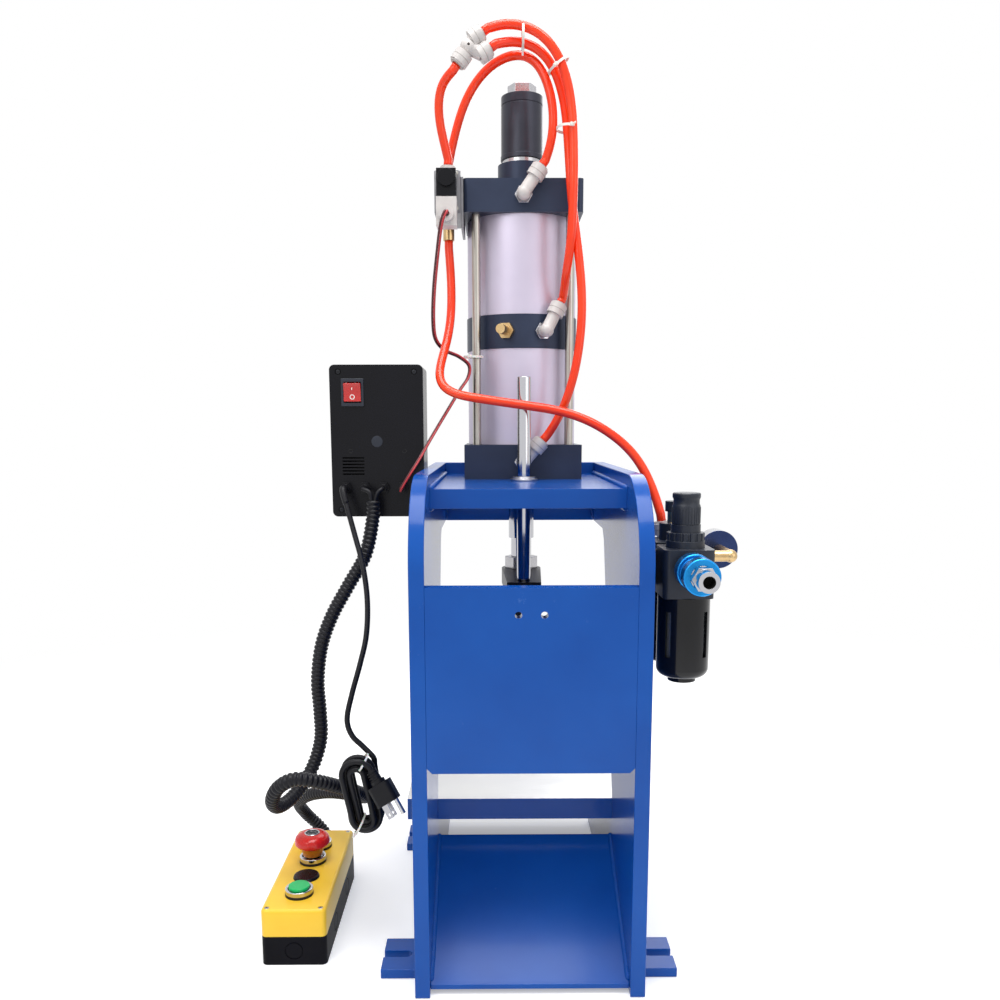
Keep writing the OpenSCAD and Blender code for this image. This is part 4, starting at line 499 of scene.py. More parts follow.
# each hose: the mouth where it starts, its points and the mouth where it ends
hoses = {
    "valveHose": (valveNear, [(-94, 56, 895), (-97, 48, 922), (-92, 38, 943)], splitIn),
    "middleHose": (splitUp, [
        (-24, 22, 996), (4, 20, 992), (28, 18, 975), (43, 18, 948), (51, 19, 915),
        (54, 20, 870), (54, 20, 815), (52, 26, 765), (47, 40, 730)], ringMouth),
    "lowerHose": (splitLow, [
        (-20, 31, 981), (4, 33, 981), (25, 33, 967), (38, 34, 943), (46, 36, 912),
        (50, 38, 868), (54, 36, 815), (62, 30, 755), (66, 28, 705), (64, 28, 660),
        (56, 30, 615), (42, 36, 576)], lowMouth),
    "upperHose": (valveFar, [
        (-80, 92, 900), (-68, 84, 935), (-48, 70, 961), (-23, 56, 974), (2, 45, 974),
        (18, 38, 958), (29, 34, 930), (33, 33, 900), (30, 36, 874)], topMouth),
    "supplyHose": (valveIn, [
        (-85, 72, 745), (-84, 60, 700), (-88, 44, 665), (-95, 26, 638), (-98, 10, 616),
        (-88, -1, 603), (-62, -7, 597), (-28, -10, 592), (5, -12, 587), (38, -15, 582),
        (71, -20, 571), (104, -27, 550), (126, -33, 526), (140, -40, 496)], unitMouth),
}
hoseSize = {"diameter": 10, "sides": 24, "steps": 10, "spacing": 0.004, "rounds": 28}


def between(start, startDir, points, end, endDir, diameter, steps):
    # a smooth path in metres that leaves and enters its mouths straight
    lead = 1.4 * diameter
    route = [start, start + lead * startDir, *points, end + lead * endDir, end]
    return [p / 1000 for p in smoothPath(route, steps)]


for name, (start, points, end) in hoses.items():
    path = between(*start, points, *end, hoseSize["diameter"], hoseSize["steps"])
    count = round(pathLength(path) / hoseSize["spacing"])
    path = relaxed(evenPath(path, count), hoseSize["rounds"])
    piece = tube(name, path, hoseSize["diameter"] / 2000, hoseSize["sides"], hosePolyurethane)
    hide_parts("supply_hose" if name == "supplyHose" else "cylinder_hoses")
    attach(piece, "frame")

# two thin wires side by side from the valve's connector to the fourth gland
wireSize = {"diameter": 2.4, "apart": 1.35, "lead": 9.6, "sides": 12, "steps": 6}
connectorTip = Vector((port["valveX"], 15, 798))
gland = {"x": -205, "pitch": 21.7, "y": -3, "z": 495}


def glandTip(i):
    return Vector((gland["x"] + i * gland["pitch"], gland["y"], gland["z"]))


leadOut = wireSize["lead"] * back
wirePoints = [(-92, 6, 785), (-97, 14, 755), (-102, 26, 718), (-104, 36, 685), (-102, 44, 665),
              (-92, 50, 653), (-76, 54, 646), (-64, 56, 636), (-65, 54, 622), (-75, 45, 606),
              (-95, 26, 572), (-108, 9, 549), (-119, -4, 529), (-130, -13, 511)]
wireRoute = smoothPath([connectorTip, connectorTip + leadOut, *wirePoints, glandTip(3) + leadOut,
                        glandTip(3)], wireSize["steps"])
wireRoute = [p / 1000 for p in wireRoute]
wireFrames = tubeFrames(wireRoute)
for name, side, material in (("redWire", -1, redWirePvc), ("blackWire", 1, blackWirePvc)):
    path = [p + side * wireSize["apart"] / 1000 * n for p, (t, n, b) in zip(wireRoute, wireFrames)]
    piece = tube(name, path, wireSize["diameter"] / 2000, wireSize["sides"], material)
    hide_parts("signal_lead")
    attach(piece, "frame")

# power cord: from the first gland down behind the conduit, then wound into a tied hank
cord = {"diameter": 6, "sides": 14, "steps": 8, "points": [
    (-204, -16, 490), (-199, -22, 474), (-190, -32, 445), (-180, -46, 413),
    (-174, -60, 377), (-174, -74, 341), (-180, -86, 311), (-188, -95, 281),
    (-193, -101, 255), (-188, -104, 238), (-176, -106, 226)]}
hank = {"at": Vector((-176, -110, 181)), "tilt": 9, "run": 48, "r": 16.5, "pitch": 6.8,
        "layer": 6.8, "layers": 4, "turnsIn": 1.5, "stepsPerTurn": 72, "short": 0.05}
plug = {"lean": 31, "forward": 14, "tail": 3, "bladesFrom": 38.5}
hankSide = tilted(hank["tilt"])
hankDown = Vector((hankSide.z, 0, -hankSide.x))
innerR = hank["r"] - hank["turnsIn"] * hank["pitch"]
runShare = hank["run"] / (2 * hank["run"] + pi * (hank["r"] + innerR))


def hankPoint(u):
    leg = int(u / hank["turnsIn"])
    v = u - leg * hank["turnsIn"]
    along = max(0, v - runShare) / (hank["turnsIn"] - runShare)
    r = hank["r"] + (innerR - hank["r"]) * (along if leg % 2 == 0 else 1 - along)
    climb = min(1, v / runShare)
    depth = hank["layer"] * (leg + climb * climb * (3 - 2 * climb))
    phase = u % 1
    half, sign = (phase, 1) if phase < 0.5 else (phase - 0.5, -1)
    if half < runShare:
        x, y = sign * r, sign * hank["run"] * (0.5 - half / runShare)
    else:
        a = pi * (half - runShare) / (0.5 - runShare)
        x, y = sign * r * cos(a), sign * (-hank["run"] / 2 - r * sin(a))
    return hank["at"] + x * hankSide - y * hankDown + depth * back


lastTurn = hank["layers"] * hank["turnsIn"] - hank["short"]
hankCount = round(lastTurn * hank["stepsPerTurn"])
hankPath = [hankPoint(lastTurn * i / hankCount) for i in range(hankCount + 1)]
hankEndDir = unit(hankPath[-1] - hankPath[-2])
lean, forward = radians(plug["lean"]), radians(plug["forward"])
plugDir = Vector((cos(forward) * sin(lean), -sin(forward), -cos(forward) * cos(lean)))
bend = hankPath[-1] + plug["tail"] * hankEndDir
bent = bend + plug["tail"] * unit(hankEndDir + plugDir)
plugBase = bent + plug["tail"] * plugDir
freePath = between(glandTip(0), back, cord["points"], hankPath[0], -hankDown, cord["diameter"],
                   cord["steps"])
tail = smoothPath([hankPath[-1], bend, bent, plugBase], 3)[1:]
cordPath = freePath[:-1] + [p / 1000 for p in hankPath + tail]
powerCord = tube("powerCord", cordPath, cord["diameter"] / 2000, cord["sides"], sheathPvc)
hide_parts("power_cord", "cord_hank")
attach(powerCord, "frame")

# conduit with a rib every few millimetres, from under the box to the far end of the station
conduit = {"diameter": 15.8, "ribDepth": 1.2, "ribs": 180, "perRib": 6, "sides": 28, "points": [
    (-171, -14, 482), (-172, -16, 460), (-180, -24, 422), (-199, -30, 388),
    (-218, -32, 354), (-231, -32, 319), (-237, -30, 278), (-236, -28, 242),
    (-236, -27, 211), (-242, -31, 185), (-252, -45, 164), (-265, -64, 150),
    (-275, -84, 149), (-276, -104, 164), (-266, -117, 184), (-248, -121, 195),
    (-226, -116, 191), (-205, -99, 178), (-189, -71, 160), (-185, -40, 142),
    (-203, -5, 130), (-237, 25, 121), (-268, 50, 107), (-287, 76, 86),
    (-284, 100, 61), (-267, 105, 40), (-253, 95, 26)], "end": (-248, 58, 19)}
conduitEnd = Vector(conduit["end"])
route = [*conduit["points"], conduitEnd - 2 * conduit["diameter"] * back, conduitEnd]
ribCount = conduit["ribs"] * conduit["perRib"] + 1
conduitPath = [p / 1000 for p in evenPath(smoothPath(route, 12), ribCount)]
ribRadii = []
for i in range(ribCount):
    # flat-topped ribs with narrow grooves
    wave = min(1, 0.675 * (1 - cos(2 * pi * i / conduit["perRib"])))
    ribRadii.append((conduit["diameter"] / 2 - conduit["ribDepth"] * (1 - wave)) / 1000)
ribbedConduit = tube("ribbedConduit", conduitPath, ribRadii, conduit["sides"], conduitNylon,
                     capped=False)
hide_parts("conduit")
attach(ribbedConduit, "frame")

# the two leads that run from glands two and three into the conduit's mouth
leadSize = {"diameter": 4.8, "sides": 14}
mouthAt = Vector(route[0])
mouthDir = unit(Vector(route[1]) - mouthAt)
acrossMouth = unit(mouthDir.cross(Vector((0, 1, 0))))
stubs = []
for i in (0, 1):
    shift = (2 * i - 1) * (leadSize["diameter"] / 2 + 0.05) * acrossMouth
    inside = mouthAt + leadSize["diameter"] * mouthDir + shift
    outside = mouthAt - 2 * leadSize["diameter"] * mouthDir + 2 * shift
    path = between(glandTip(i + 1), back, [outside], inside, -mouthDir, leadSize["diameter"], 8)
    stubs.append(tube("stub", path, leadSize["diameter"] / 2000, leadSize["sides"], sheathPvc))
leadStubs = joined("leadStubs", stubs)
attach(leadStubs, "frame")
print("hoses and cords laid: cord", round(pathLength(cordPath), 3), "m, conduit",
      round(pathLength(conduitPath), 3), "m")


# cable ties

def cableTie(name, centre, across, along, halfWide, halfHigh, headAt, tailLength, width=2.6,
             thick=1):
    # an oval band in the plane of across and along, with its head and the cut tail
    centre, across, along = Vector(centre), unit(Vector(across)), unit(Vector(along))
    axis = across.cross(along)
    steps, points = 40, []
    for i in range(steps):
        a = 2 * pi * i / steps
        for grow, lift in ((0, -1), (thick, -1), (thick, 1), (0, 1)):
            points.append((centre + (halfWide + grow) * cos(a) * across
                           + (halfHigh + grow) * sin(a) * along
                           + lift * width / 2 * axis) / 1000)
    band = meshObject(name + "Band", points, ringFaces(steps, 4, closed=True), tieNylon)
    a = radians(headAt)
    out = unit(halfHigh * cos(a) * across + halfWide * sin(a) * along)
    seat = centre + halfWide * cos(a) * across + halfHigh * sin(a) * along
    side = axis.cross(out)
    head = block(name + "Head", (-2.4, -1.9, 0), (2.4, 1.9, 3.2), tieNylon, 0.5)
    tail = block(name + "Tail", (-0.5, -1.1, 2), (0.5, 1.1, tailLength), tieNylon, 0.3, 2)
    for piece in (head, tail):
        piece.data.transform(Matrix.Translation(seat / 1000)
                             @ Matrix((side, axis, out)).transposed().to_4x4())
    return joined(name, [band, head, tail])


# each tie: its centre, its two directions, half sizes, where its head sits and its tail's length
ties = {
    "loopTieA": ((-2, 27, 985), (0, 1, 0), (0, 0.2, 1), 15, 12, -60, 8),
    "loopTieB": ((37, 28, 955), (0, 1, 0.1), (1, 0, 0.75), 16, 13, 200, 7),
    "loopTieC": ((47, 28, 890), (0, 1, 0), (1, 0, 0), 15, 11, 160, 9),
    "rodTie": ((-58.5, 64, 646), (1, 0, 0), (0, 1, 0), 11, 10, 250, 6),
}
for name, tie in ties.items():
    piece = cableTie(name, *tie)
    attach(piece, "frame")

hankMiddle = hank["at"] + 2 * hank["layer"] * back
bundle = (hank["r"] + innerR) / 2  # middle of the strands on one side
for name, end, angle, head in (("hankTieTop", -1, 58, 90), ("hankTieLow", 1, 241, -25)):
    # thin ties across the two bends of the hank
    away = tilted(angle)
    seat = hankMiddle + end * hank["run"] / 2 * hankDown + bundle * away
    piece = cableTie(name, seat, away, (0, 1, 0), 8.6, 17.2, head, 7, width=2, thick=0.8)
    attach(piece, "frame")

plugPiece = dress("power_plug", sheathPvc, 0.8, 3)
onFaces(plugPiece, hardChrome, lambda c, n: (c - plugBase).dot(plugDir) > plug["bladesFrom"])
plugRings = joined("plugRings", [
    lathe("ring", [(5.2, -0.9), (6.1, -0.5), (6.1, 0.5), (5.2, 0.9)], sheathPvc, 28,
          (plugBase + (2 + 2.8 * i) * plugDir) / 1000, plugDir) for i in range(4)])
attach(plugRings, "frame")
bootLook = {"reach": 0.024, "r": 4.6, "taper": 1.1, "sides": 20}
bootPath = [p for p in freePath if (p - freePath[0]).length < bootLook["reach"]]
bootRadii = [(bootLook["r"] - bootLook["taper"] * i / len(bootPath)) / 1000
             for i in range(len(bootPath))]
boot = tube("cordBoot", bootPath, bootRadii, bootLook["sides"], sheathPvc)
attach(boot, "frame")

print("ties and plug made")


# frame: enamel on the welded plates, beads in the corners

for node in ("side_plates", "rear_panel", "head_plate", "front_cross_plates", "discharge_chute",
             "mounting_feet"):
    dress(node, frameEnamel, 0.9, 3)
table = dress("work_table", frameEnamel, 0.8)
onFaces(table, tableSteel, lambda c, n: n.z > 0.9)


def weldBead(name, start, end, outward, radius, ripple=2.6):
    # a fillet of overlapping ripples; outward leans out of the corner
    start, end, outward = Vector(start), Vector(end), unit(Vector(outward))
    length = (end - start).length
    step = 0.65
    count = int(length / step)
    path, radii = [], []
    for i in range(count + 1):
        p = start.lerp(end, i / count)
        wander = noise.noise(p * 0.09) * 0.8
        scale = abs(sin(pi * i * step / ripple))
        path.append((p + outward * (0.3 * radius + 0.25 * wander)) / 1000)
        taper = min(1, 0.35 + i / 5, 0.35 + (count - i) / 5)
        radii.append((radius * (0.82 + 0.16 * scale) + 0.35 * wander) * taper / 1000)
    return tube(name, path, radii, 14, weldEnamel)


# beads at the right cheek, mirrored at the left: start, end, direction out of the corner, radius
beadRuns = [
    ((100, -199, 12), (100, -37, 94), (-1, -0.3, 1), 3.0),
    ((100, -119, 502), (100, 194, 502), (-1, 0, 1), 3.2),
    ((100, -119, 482), (100, -20, 482), (-1, 0, -1), 2.6),
    ((100, -194, 240), (100, -194, 414), (-1, 1, 0), 2.8),
    ((100, 194, 441), (100, 194, 480), (-1, -1, 0), 2.8),
    ((115, -174, 10), (115, -118, 10), (1, 0, 1), 2.6),
    ((115, 118, 10), (115, 174, 10), (1, 0, 1), 2.6),
    ((100, -28, 116), (100, 194, 116), (-1, 0, -1), 2.8),
    ((115, -42, 116), (115, 208, 116), (1, 0, -1), 2.6),
]
beads = []
for side in (-1, 1):
    for *run, radius in beadRuns:
        beads.append(weldBead("bead", *[(side * x, y, z) for x, y, z in run], radius))
weldBeads = joined("weldBeads", beads)
weldBeads.data.shade_smooth()
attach(weldBeads, "frame")
print("frame dressed")


# cylinder, rod and guide

dress("lower_cap", hardAnodised, 1.6, 3)
dress("middle_ring", hardAnodised, 0.5)
dress("upper_cap", hardAnodised, 2.2, 4)
dress("cylinder_tubes", clearAnodised, 0.3)
dress("tie_rods", platedSteel, 0.3)
dress("rod_bushings", turnedBrass, 0.3)
dress("guide_bushing", turnedSteel, 0.6, 3)
dress("cap_screws", oxideSteel)
dress("piston_rod", hardChrome, 0.5)
dress("pistons", clearAnodised, 0.3)
dress("piston_seals", sealRubber, 0)
dress("stop_bumper", turnedSteel, 0.6, 3)
dress("adjuster_sleeve", sleeveAnodised, 0.9, 3)
dress("rod_nuts", turnedSteel, 0.5)
dress("link_plate", oxideSteel, 0.9, 3)
dress("guide_rod", hardChrome, 0.8, 3)
dress("tool_holder", oxideSteel, 0.8, 3)

# grub screw in the tool holder, with its socket
grub = lathe("grubScrew", [(0, -3), (3.3, -3), (3.3, 3), (2.6, 3.5), (1.9, 3.5), (1.9, 1),
                           (0, 0.6)], oxideSteel, 24, mm(17, port["axisY"], 337.5), tilted(0))
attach(grub, "ram")
print("cylinder dressed")


# valve and fittings

valve = {"screwX": (-97.5, -76.5), "screwZ": (810, 848), "faceY": 46.6, "screwR": 2.2,
         "screwHigh": 1.3}
dress("valve_body", castZinc, 0.9, 3)
dress("valve_coil", housingAbs, 1.0, 3)
dress("valve_connector", fittingAcetal, 0.7, 3)
brackets = dress("brackets", castZinc, 0.5)
onFaces(brackets, unitNylon, lambda c, n: c.x > 0)
dress("push_in_fittings", fittingAcetal, 0.5, 3)
dress("port_nipples", hardChrome)
dress("hose_splitter", fittingAcetal, 0.5, 3)
brass = dress("brass_fittings", turnedBrass)
onFaces(brass, sinteredBronze, lambda c, n: c.x < 0 and c.z > 700 and c.y > 85)


def panScrew(name, at, direction, r, high, material):
    # pan head standing on a face; its cross recess is two dark bars of painted shade laid into the
    # top, not a cut
    made = [lathe(name, [(0, -1), (r, -1), (r, 0.45 * high), (0.86 * r, 0.8 * high),
                         (0.5 * r, high), (0, high)], material, 28, mm(*at), direction)]
    for angle in (20, 110):
        bar = block(name + "Cut", (-0.55 * r, -0.11 * r, high - 0.35),
                    (0.55 * r, 0.11 * r, high + 0.06), recessShadePaint, 0.03, 1)
        bar.data.transform(Matrix.Rotation(radians(angle), 4, "Z"))
        made.append(standAlong(bar, mm(*at), direction))
    return joined(name, made)


piece = joined("valveScrews", [
    panScrew("valveScrew", (x, valve["faceY"], z), back, valve["screwR"], valve["screwHigh"],
             platedSteel) for x in valve["screwX"] for z in valve["screwZ"]])
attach(piece, "frame")

# release rings in the mouths, each round the hose that it holds
mouths = [lowMouth, ringMouth, topMouth, unitMouth, splitIn, splitUp, splitLow, valveNear, valveFar]
ringProfiles = {
    "releaseRing": [(5.1, -0.6), (8.2, -0.6), (8.2, 0.5), (7.7, 0.9), (5.4, 0.9), (5.1, 0.5)],
    "grooveLine": [(10.02, -8.2), (10.12, -8.0), (10.12, -7.4), (10.02, -7.2)]}
releaseRings = joined("releaseRings", [
    lathe(name, profile, ringAcetal, 40, at / 1000, direction)
    for at, direction in mouths for name, profile in ringProfiles.items()])
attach(releaseRings, "frame")
print("valve and fittings dressed")


# control box

dress("control_box", housingAbs, 0.7, 3)
dress("control_box_lid", housingAbs, 0.7)
dress("rocker_bezel", unitNylon, 0.5)
dress("rocker_switch", rockerRed, 0.5, 3)
dress("cable_glands", housingAbs, 0.5)

boxLook = {"face": 11, "screws": ((-211, 470), (-125, 470), (-211, 626), (-125, 626)),
           "holes": ((-198.8, 537), (-137.3, 537)), "mark": (-168.4, 547.8)}
piece = joined("boxScrews", [
    panScrew("boxScrew", (x, boxLook["face"] + 2, z), back, 2.9, 1.7, oxideSteel)
    for x, z in boxLook["screws"]])
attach(piece, "frame")

# painted shade: the two holes are flat dark discs that stand in for the shade down them
marks = [lathe("hole", [(0, -0.1), (1.7, -0.1), (1.9, 0.05), (2.3, 0.12), (2.4, 0.02), (2.4, -0.2)],
               recessShadePaint, 28, mm(x, boxLook["face"], z), back) for x, z in boxLook["holes"]]
x, z = boxLook["mark"]
marks.append(lathe("cap", [(0, 0.35), (5.2, 0.35), (6.3, 0.2), (6.6, -0.2)], unitNylon, 40,
                   mm(x, boxLook["face"], z), back))
piece = joined("boxMarks", marks)
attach(piece, "frame")

# rocker marks: a bar on the upper half and a ring on the lower, as on any mains rocker
rocker = {"x": -195, "z": 603, "face": 8, "tilt": 15.7, "markUp": 5.1, "barHalf": 2.6,
          "barSink": 1.45, "ringR": 2.4, "lineHalf": 0.45, "high": 0.12}
bar = block("bar", (-rocker["lineHalf"], -rocker["barHalf"], -0.02),
            (rocker["lineHalf"], rocker["barHalf"], rocker["high"]), printWhite, 0.05, 1)
barAt = mm(rocker["x"], rocker["face"] - rocker["barSink"], rocker["z"] + rocker["markUp"])
bar.data.transform(Matrix.Translation(barAt)
                   @ Matrix.Rotation(radians(90 - rocker["tilt"]), 4, "X"))
inner, outer = rocker["ringR"] - rocker["lineHalf"], rocker["ringR"] + rocker["lineHalf"]
circle = lathe("circle", [(inner, 0), (inner, rocker["high"]), (outer, rocker["high"]), (outer, 0)],
               printWhite, 40,
               mm(rocker["x"], rocker["face"], rocker["z"] - rocker["markUp"]), back)
rockerMarks = joined("rockerMarks", [bar, circle])
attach(rockerMarks, "rocker")
print("control box dressed")


# air preparation unit

airUnit = {"x": 154.5, "filterY": -149, "lubY": -86, "neck": (464.5, 475.5), "bowlZ": 316,
           "boreR": 5.85, "boreY": -200, "gaugeBackY": -90}
dress("filter_regulator", unitNylon, 0.6)
lubricator = dress("lubricator", unitNylon, 0.6)
onFaces(lubricator, turnedBrass, lambda c, n: airUnit["neck"][0] < c.z < airUnit["neck"][1])
dress("unit_bowls", bowlPaint, 0.5)
dress("regulator_knob", unitNylon, 0.5, 3)
gauge = dress("pressure_gauge", hardChrome, 0.8, 3)
onFaces(gauge, caseLacquer, lambda c, n: n.y < -0.9 and c.y < airUnit["gaugeBackY"])
dress("gauge_needle", printBlack, 0)
inlet = dress("shutoff_valve", hardChrome, 0.5)
# painted shade: the chrome faces inside the inlet's bore are made dark, standing in for the shade
# down the hole
onFaces(inlet, recessShadePaint, lambda c, n: c.y < airUnit["boreY"] and hypot(
    c.x - port["unitX"], c.z - port["unitZ"]) < airUnit["boreR"])
dress("shutoff_sleeve", blueAnodised, 0.6, 3)

piece = joined("innerBowls", [
    lathe("innerBowl", [(0, 12), (16, 12), (21.5, 17), (22.6, 24), (22.6, 76), (20, 76), (20, 24),
                        (16, 15), (0, 14)], bowlPolycarbonate, 40,
          mm(airUnit["x"], y, airUnit["bowlZ"])) for y in (airUnit["filterY"], airUnit["lubY"])])
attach(piece, "frame")

# grip ribs round the regulator's knob
ribs = []
knob = {"r": 13.75, "low": 470, "high": 486, "count": 28}
for i in range(knob["count"]):
    a = 2 * pi * i / knob["count"]
    at = mm(airUnit["x"] + knob["r"] * cos(a), airUnit["filterY"] + knob["r"] * sin(a), 0)
    rib = block("rib", (-0.35, -0.55, knob["low"]), (0.35, 0.55, knob["high"]), unitNylon, 0.25, 2)
    rib.data.transform(Matrix.Translation(at) @ Matrix.Rotation(a, 4, "Z"))
    ribs.append(rib)
knobRibs = joined("knobRibs", ribs)
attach(knobRibs, "knob")

# gauge dial: white face, ticks and plain numbers, behind a clear lens
dial = {"x": 200, "y": -84, "z": 437, "r": 17.3, "first": 135, "sweep": 270, "ticks": 50,
        "perLong": 10, "outer": 15.6, "long": (12.6, 0.28), "short": (14.1, 0.14),
        "numbers": (0, 2, 4, 6, 8, 10), "numberR": 0.0103, "letter": 0.0036}
dialAt = mm(dial["x"], dial["y"], dial["z"])
dialParts = [lathe("dialFace", [(1.6, 0.02), (1.6, 0.25), (dial["r"], 0.25), (dial["r"], 0.02)],
                   dialPaint, 64, dialAt, -back)]


def dialAngle(share):
    # the dial's own right is -X, because it's read from the front
    return radians(dial["first"] - dial["sweep"] * share)


for i in range(dial["ticks"] + 1):
    inner, half = dial["short"] if i % dial["perLong"] else dial["long"]
    tick = block("tick", (-half, 0.24, inner), (half, 0.32, dial["outer"]), printBlack, 0.02, 1)
    turn = Matrix.Rotation(dialAngle(i / dial["ticks"]), 4, "Y")
    tick.data.transform(Matrix.Translation(dialAt) @ turn)
    dialParts.append(tick)
for i, value in enumerate(dial["numbers"]):
    a = dialAngle(i / (len(dial["numbers"]) - 1))
    words = bpy.data.curves.new("number", "FONT")
    words.body = str(value)
    words.size = dial["letter"]
    words.extrude = 0.00004
    words.align_x = words.align_y = "CENTER"
    holder = addObject("number", words)
    number = addObject("number", bpy.data.meshes.new_from_object(holder))
    bpy.data.objects.remove(holder)
    number.data.materials.clear()
    number.data.materials.append(printBlack)
    at = dialAt + Vector((sin(a) * dial["numberR"], 0.0003, cos(a) * dial["numberR"]))
    number.data.transform(Matrix.Translation(at) @ Matrix.Rotation(pi, 4, "Z")
                          @ Matrix.Rotation(radians(90), 4, "X"))
    dialParts.append(number)
gaugeDial = joined("gaugeDial", dialParts)
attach(gaugeDial, "frame")
lens = lathe("gaugeLens", [(0, 5.0), (dial["r"], 4.6), (dial["r"], 5.4), (0, 5.8)], lensAcrylic, 64,
             dialAt, -back)
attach(lens, "frame")
print("air unit dressed")


# push-button station

station = {"x": -248, "y": -150, "length": 198, "width": 69, "top": 62, "first": 35, "pitch": 38.5,
           "places": (0, 2, 3), "stopPlace": 2, "capUp": 20, "capHigh": 15,
           "screwIn": 6, "screwSink": 0.8}
dress("station_base", textureAbs, 0.7)
dress("station_lid", lidAbs, 0.5, 2, 50)
dress("station_bezels", hardChrome, 0.8, 3)
dress("start_button_near", buttonGreen, 0.9, 4)
dress("start_button_far", buttonGreen, 0.9, 4)
dress("stop_button", mushroomRed, 1.2, 4, 24)
dress("stop_stem", hardChrome)
dress("blank_plug", housingAbs, 0.8, 3)


def placeAt(i, lift=0):
    # the middle of a place for a button, on the lid or above it
    return mm(station["x"], station["y"] + station["first"] + i * station["pitch"],
              station["top"] + lift)


piece = joined("bezelGaskets", [
    lathe("gasket", [(14.55, 0), (15.1, 0), (15.2, 0.6), (15.2, 2.8), (14.9, 3.4), (14.55, 3.5)],
          sealRubber, 48, placeAt(i)) for i in station["places"]])
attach(piece, "frame")

capTop = station["capHigh"]
capAt = placeAt(station["stopPlace"], station["capUp"])
rimProfile = [(7.2, -0.3), (7.2, 0.5), (7.6, 0.8), (8.4, 0.8), (8.8, 0.4), (8.8, -0.3)]
discRim = lathe("discRim", [(r, capTop + h) for r, h in rimProfile], turnedSteel)
discFace = lathe("discFace", [(0, capTop + 0.1), (6.6, capTop + 0.1), (7.3, capTop + 0.3)],
                 oxideSteel)
arrows = []
for turn in (0, 180):
    # two curved arrows that show which way the head turns: seven bits of line and two of the tip
    for i in range(9):
        a = radians(turn + 20 + 13 * i)
        half = 0.55 if i < 7 else (1.5 if i == 7 else 0.7)
        bit = block("bit", (4.5 - half, -0.75, capTop), (4.5 + half, 0.75, capTop + 0.25),
                    castZinc, 0.08, 1)
        bit.data.transform(Matrix.Rotation(a, 4, "Z"))
        arrows.append(bit)
disc = joined("stopDisc", [discRim, discFace] + arrows)
disc.data.transform(Matrix.Translation(capAt))
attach(disc, "stop")
# the amber neck, thin enough below to go down inside the chrome rim
collar = lathe("stopCollar", [(10.02, -11), (11.2, -11), (11.4, -10.8), (11.4, -6.9), (12.5, -6.6),
                              (12.6, -4.2), (13.6, -2.6), (13.6, -0.2), (10.02, -0.2)],
               collarAmber, at=capAt)
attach(collar, "stop")

halfWide, halfLong = station["width"] / 2, station["length"] / 2
piece = joined("lidScrews", [
    panScrew("lidScrew", (station["x"] + x * (halfWide - station["screwIn"]),
                          station["y"] + halfLong + y * (halfLong - station["screwIn"]),
                          station["top"] - station["screwSink"]), up, 2.6, 0.9, platedSteel)
    for x in (-1, 1) for y in (-1, 1)])
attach(piece, "frame")
print("station dressed")


# floor, light and backdrop

def straightRays(material):
    # 1 for rays from the camera, off gloss and through glass, 0 for the scattered ones
    path = addNode(material, "ShaderNodeLightPath")
    direct = addNode(material, "ShaderNodeMath", {
        0: path.outputs["Is Camera Ray"], 1: path.outputs["Is Glossy Ray"]}, operation="MAXIMUM")
    return addNode(material, "ShaderNodeMath", {
        0: direct.outputs["Value"], 1: path.outputs["Is Transmission Ray"]},
        operation="MAXIMUM").outputs["Value"]


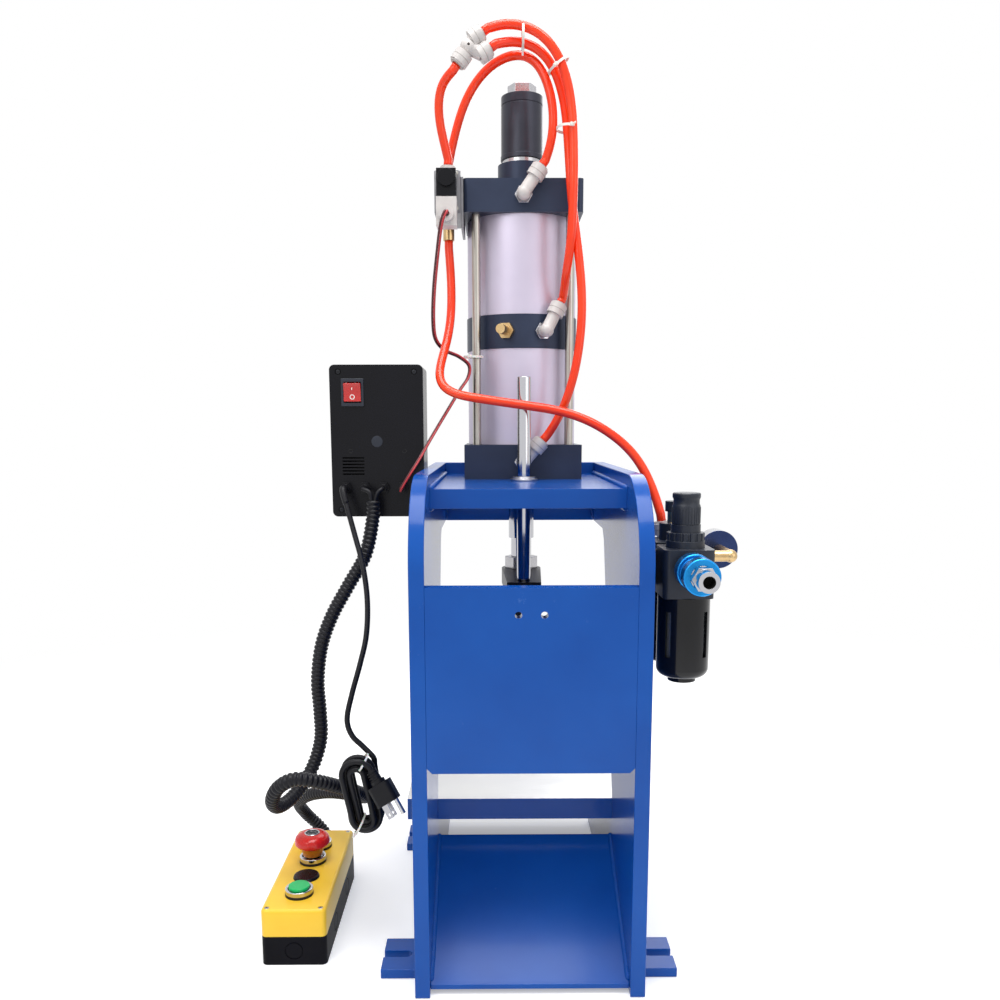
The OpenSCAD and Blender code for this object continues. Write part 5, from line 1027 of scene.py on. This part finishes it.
# pale paper that keeps the object's shadow near it and turns plain white away from it
floorLook = {"colour": "f4f4f4", "lift": 0.36, "near": 0.75, "far": 1.7, "half": 6, "z": -0.0005}
floorMaterial = blankMaterial("paperFloor")
place = addNode(floorMaterial, "ShaderNodeTexCoord")
away = addNode(floorMaterial, "ShaderNodeVectorMath", {0: place.outputs["Object"]},
               operation="LENGTH")
plain = addNode(floorMaterial, "ShaderNodeMapRange", {
    "Value": away.outputs["Value"], "From Min": floorLook["near"], "From Max": floorLook["far"]},
    interpolation_type="SMOOTHSTEP")
seen = straightRays(floorMaterial)
matte = addNode(floorMaterial, "ShaderNodeBsdfDiffuse", {"Color": hexToLinear(floorLook["colour"])})
lift = addNode(floorMaterial, "ShaderNodeMath", {
    0: seen, 1: floorLook["lift"]}, operation="MULTIPLY")
glow = addNode(floorMaterial, "ShaderNodeEmission", {"Strength": lift.outputs["Value"]})
shaded = addNode(floorMaterial, "ShaderNodeAddShader", {
    0: matte.outputs["BSDF"], 1: glow.outputs["Emission"]})
white = addNode(floorMaterial, "ShaderNodeEmission")
plainSeen = addNode(floorMaterial, "ShaderNodeMath", {
    0: plain.outputs["Result"], 1: seen}, operation="MULTIPLY")
whole = addNode(floorMaterial, "ShaderNodeMixShader", {
    0: plainSeen.outputs["Value"], 1: shaded.outputs["Shader"], 2: white.outputs["Emission"]})
addNode(floorMaterial, "ShaderNodeOutputMaterial", {"Surface": whole.outputs["Shader"]})
corners = [(x * floorLook["half"], y * floorLook["half"], floorLook["z"])
           for x, y in ((-1, -1), (1, -1), (1, 1), (-1, 1))]
floor = meshObject("floor", corners, [(0, 1, 2, 3)], floorMaterial)

studio = {"ambient": 0.37}
world = bpy.data.worlds.new("studio")
scene.world = world
world.use_nodes = True
world.node_tree.nodes.clear()
level = addNode(world, "ShaderNodeMapRange", {
    "Value": straightRays(world), "To Min": studio["ambient"]})
sky = addNode(world, "ShaderNodeBackground", {
    "Color": (1, 1, 1, 1), "Strength": level.outputs["Result"]})
addNode(world, "ShaderNodeOutputWorld", {"Surface": sky.outputs["Background"]})

# each lamp: where it stands, what it aims at, its size and its power
lamps = {
    "key": ((-1.3, -1.7, 1.9), (0, 0, 0.5), 1.4, 13),
    "fill": ((1.5, -1.5, 1.1), (0, 0, 0.4), 1.6, 7),
    "top": ((0.0, -0.5, 2.5), (0, 0, 0.3), 1.8, 54),
    "back": ((0.6, 1.8, 1.8), (0, 0, 0.6), 1.6, 15),
}
for name, (at, aim, size, power) in lamps.items():
    light = bpy.data.lights.new(name, "AREA")
    light.shape = "DISK"
    light.size = size
    light.energy = power
    holder = addObject(name, light)
    holder.location = at
    holder.rotation_euler = (Vector(aim) - Vector(at)).to_track_quat("-Z", "Y").to_euler()
scene.view_settings.view_transform = "Standard"

print("light and floor set")
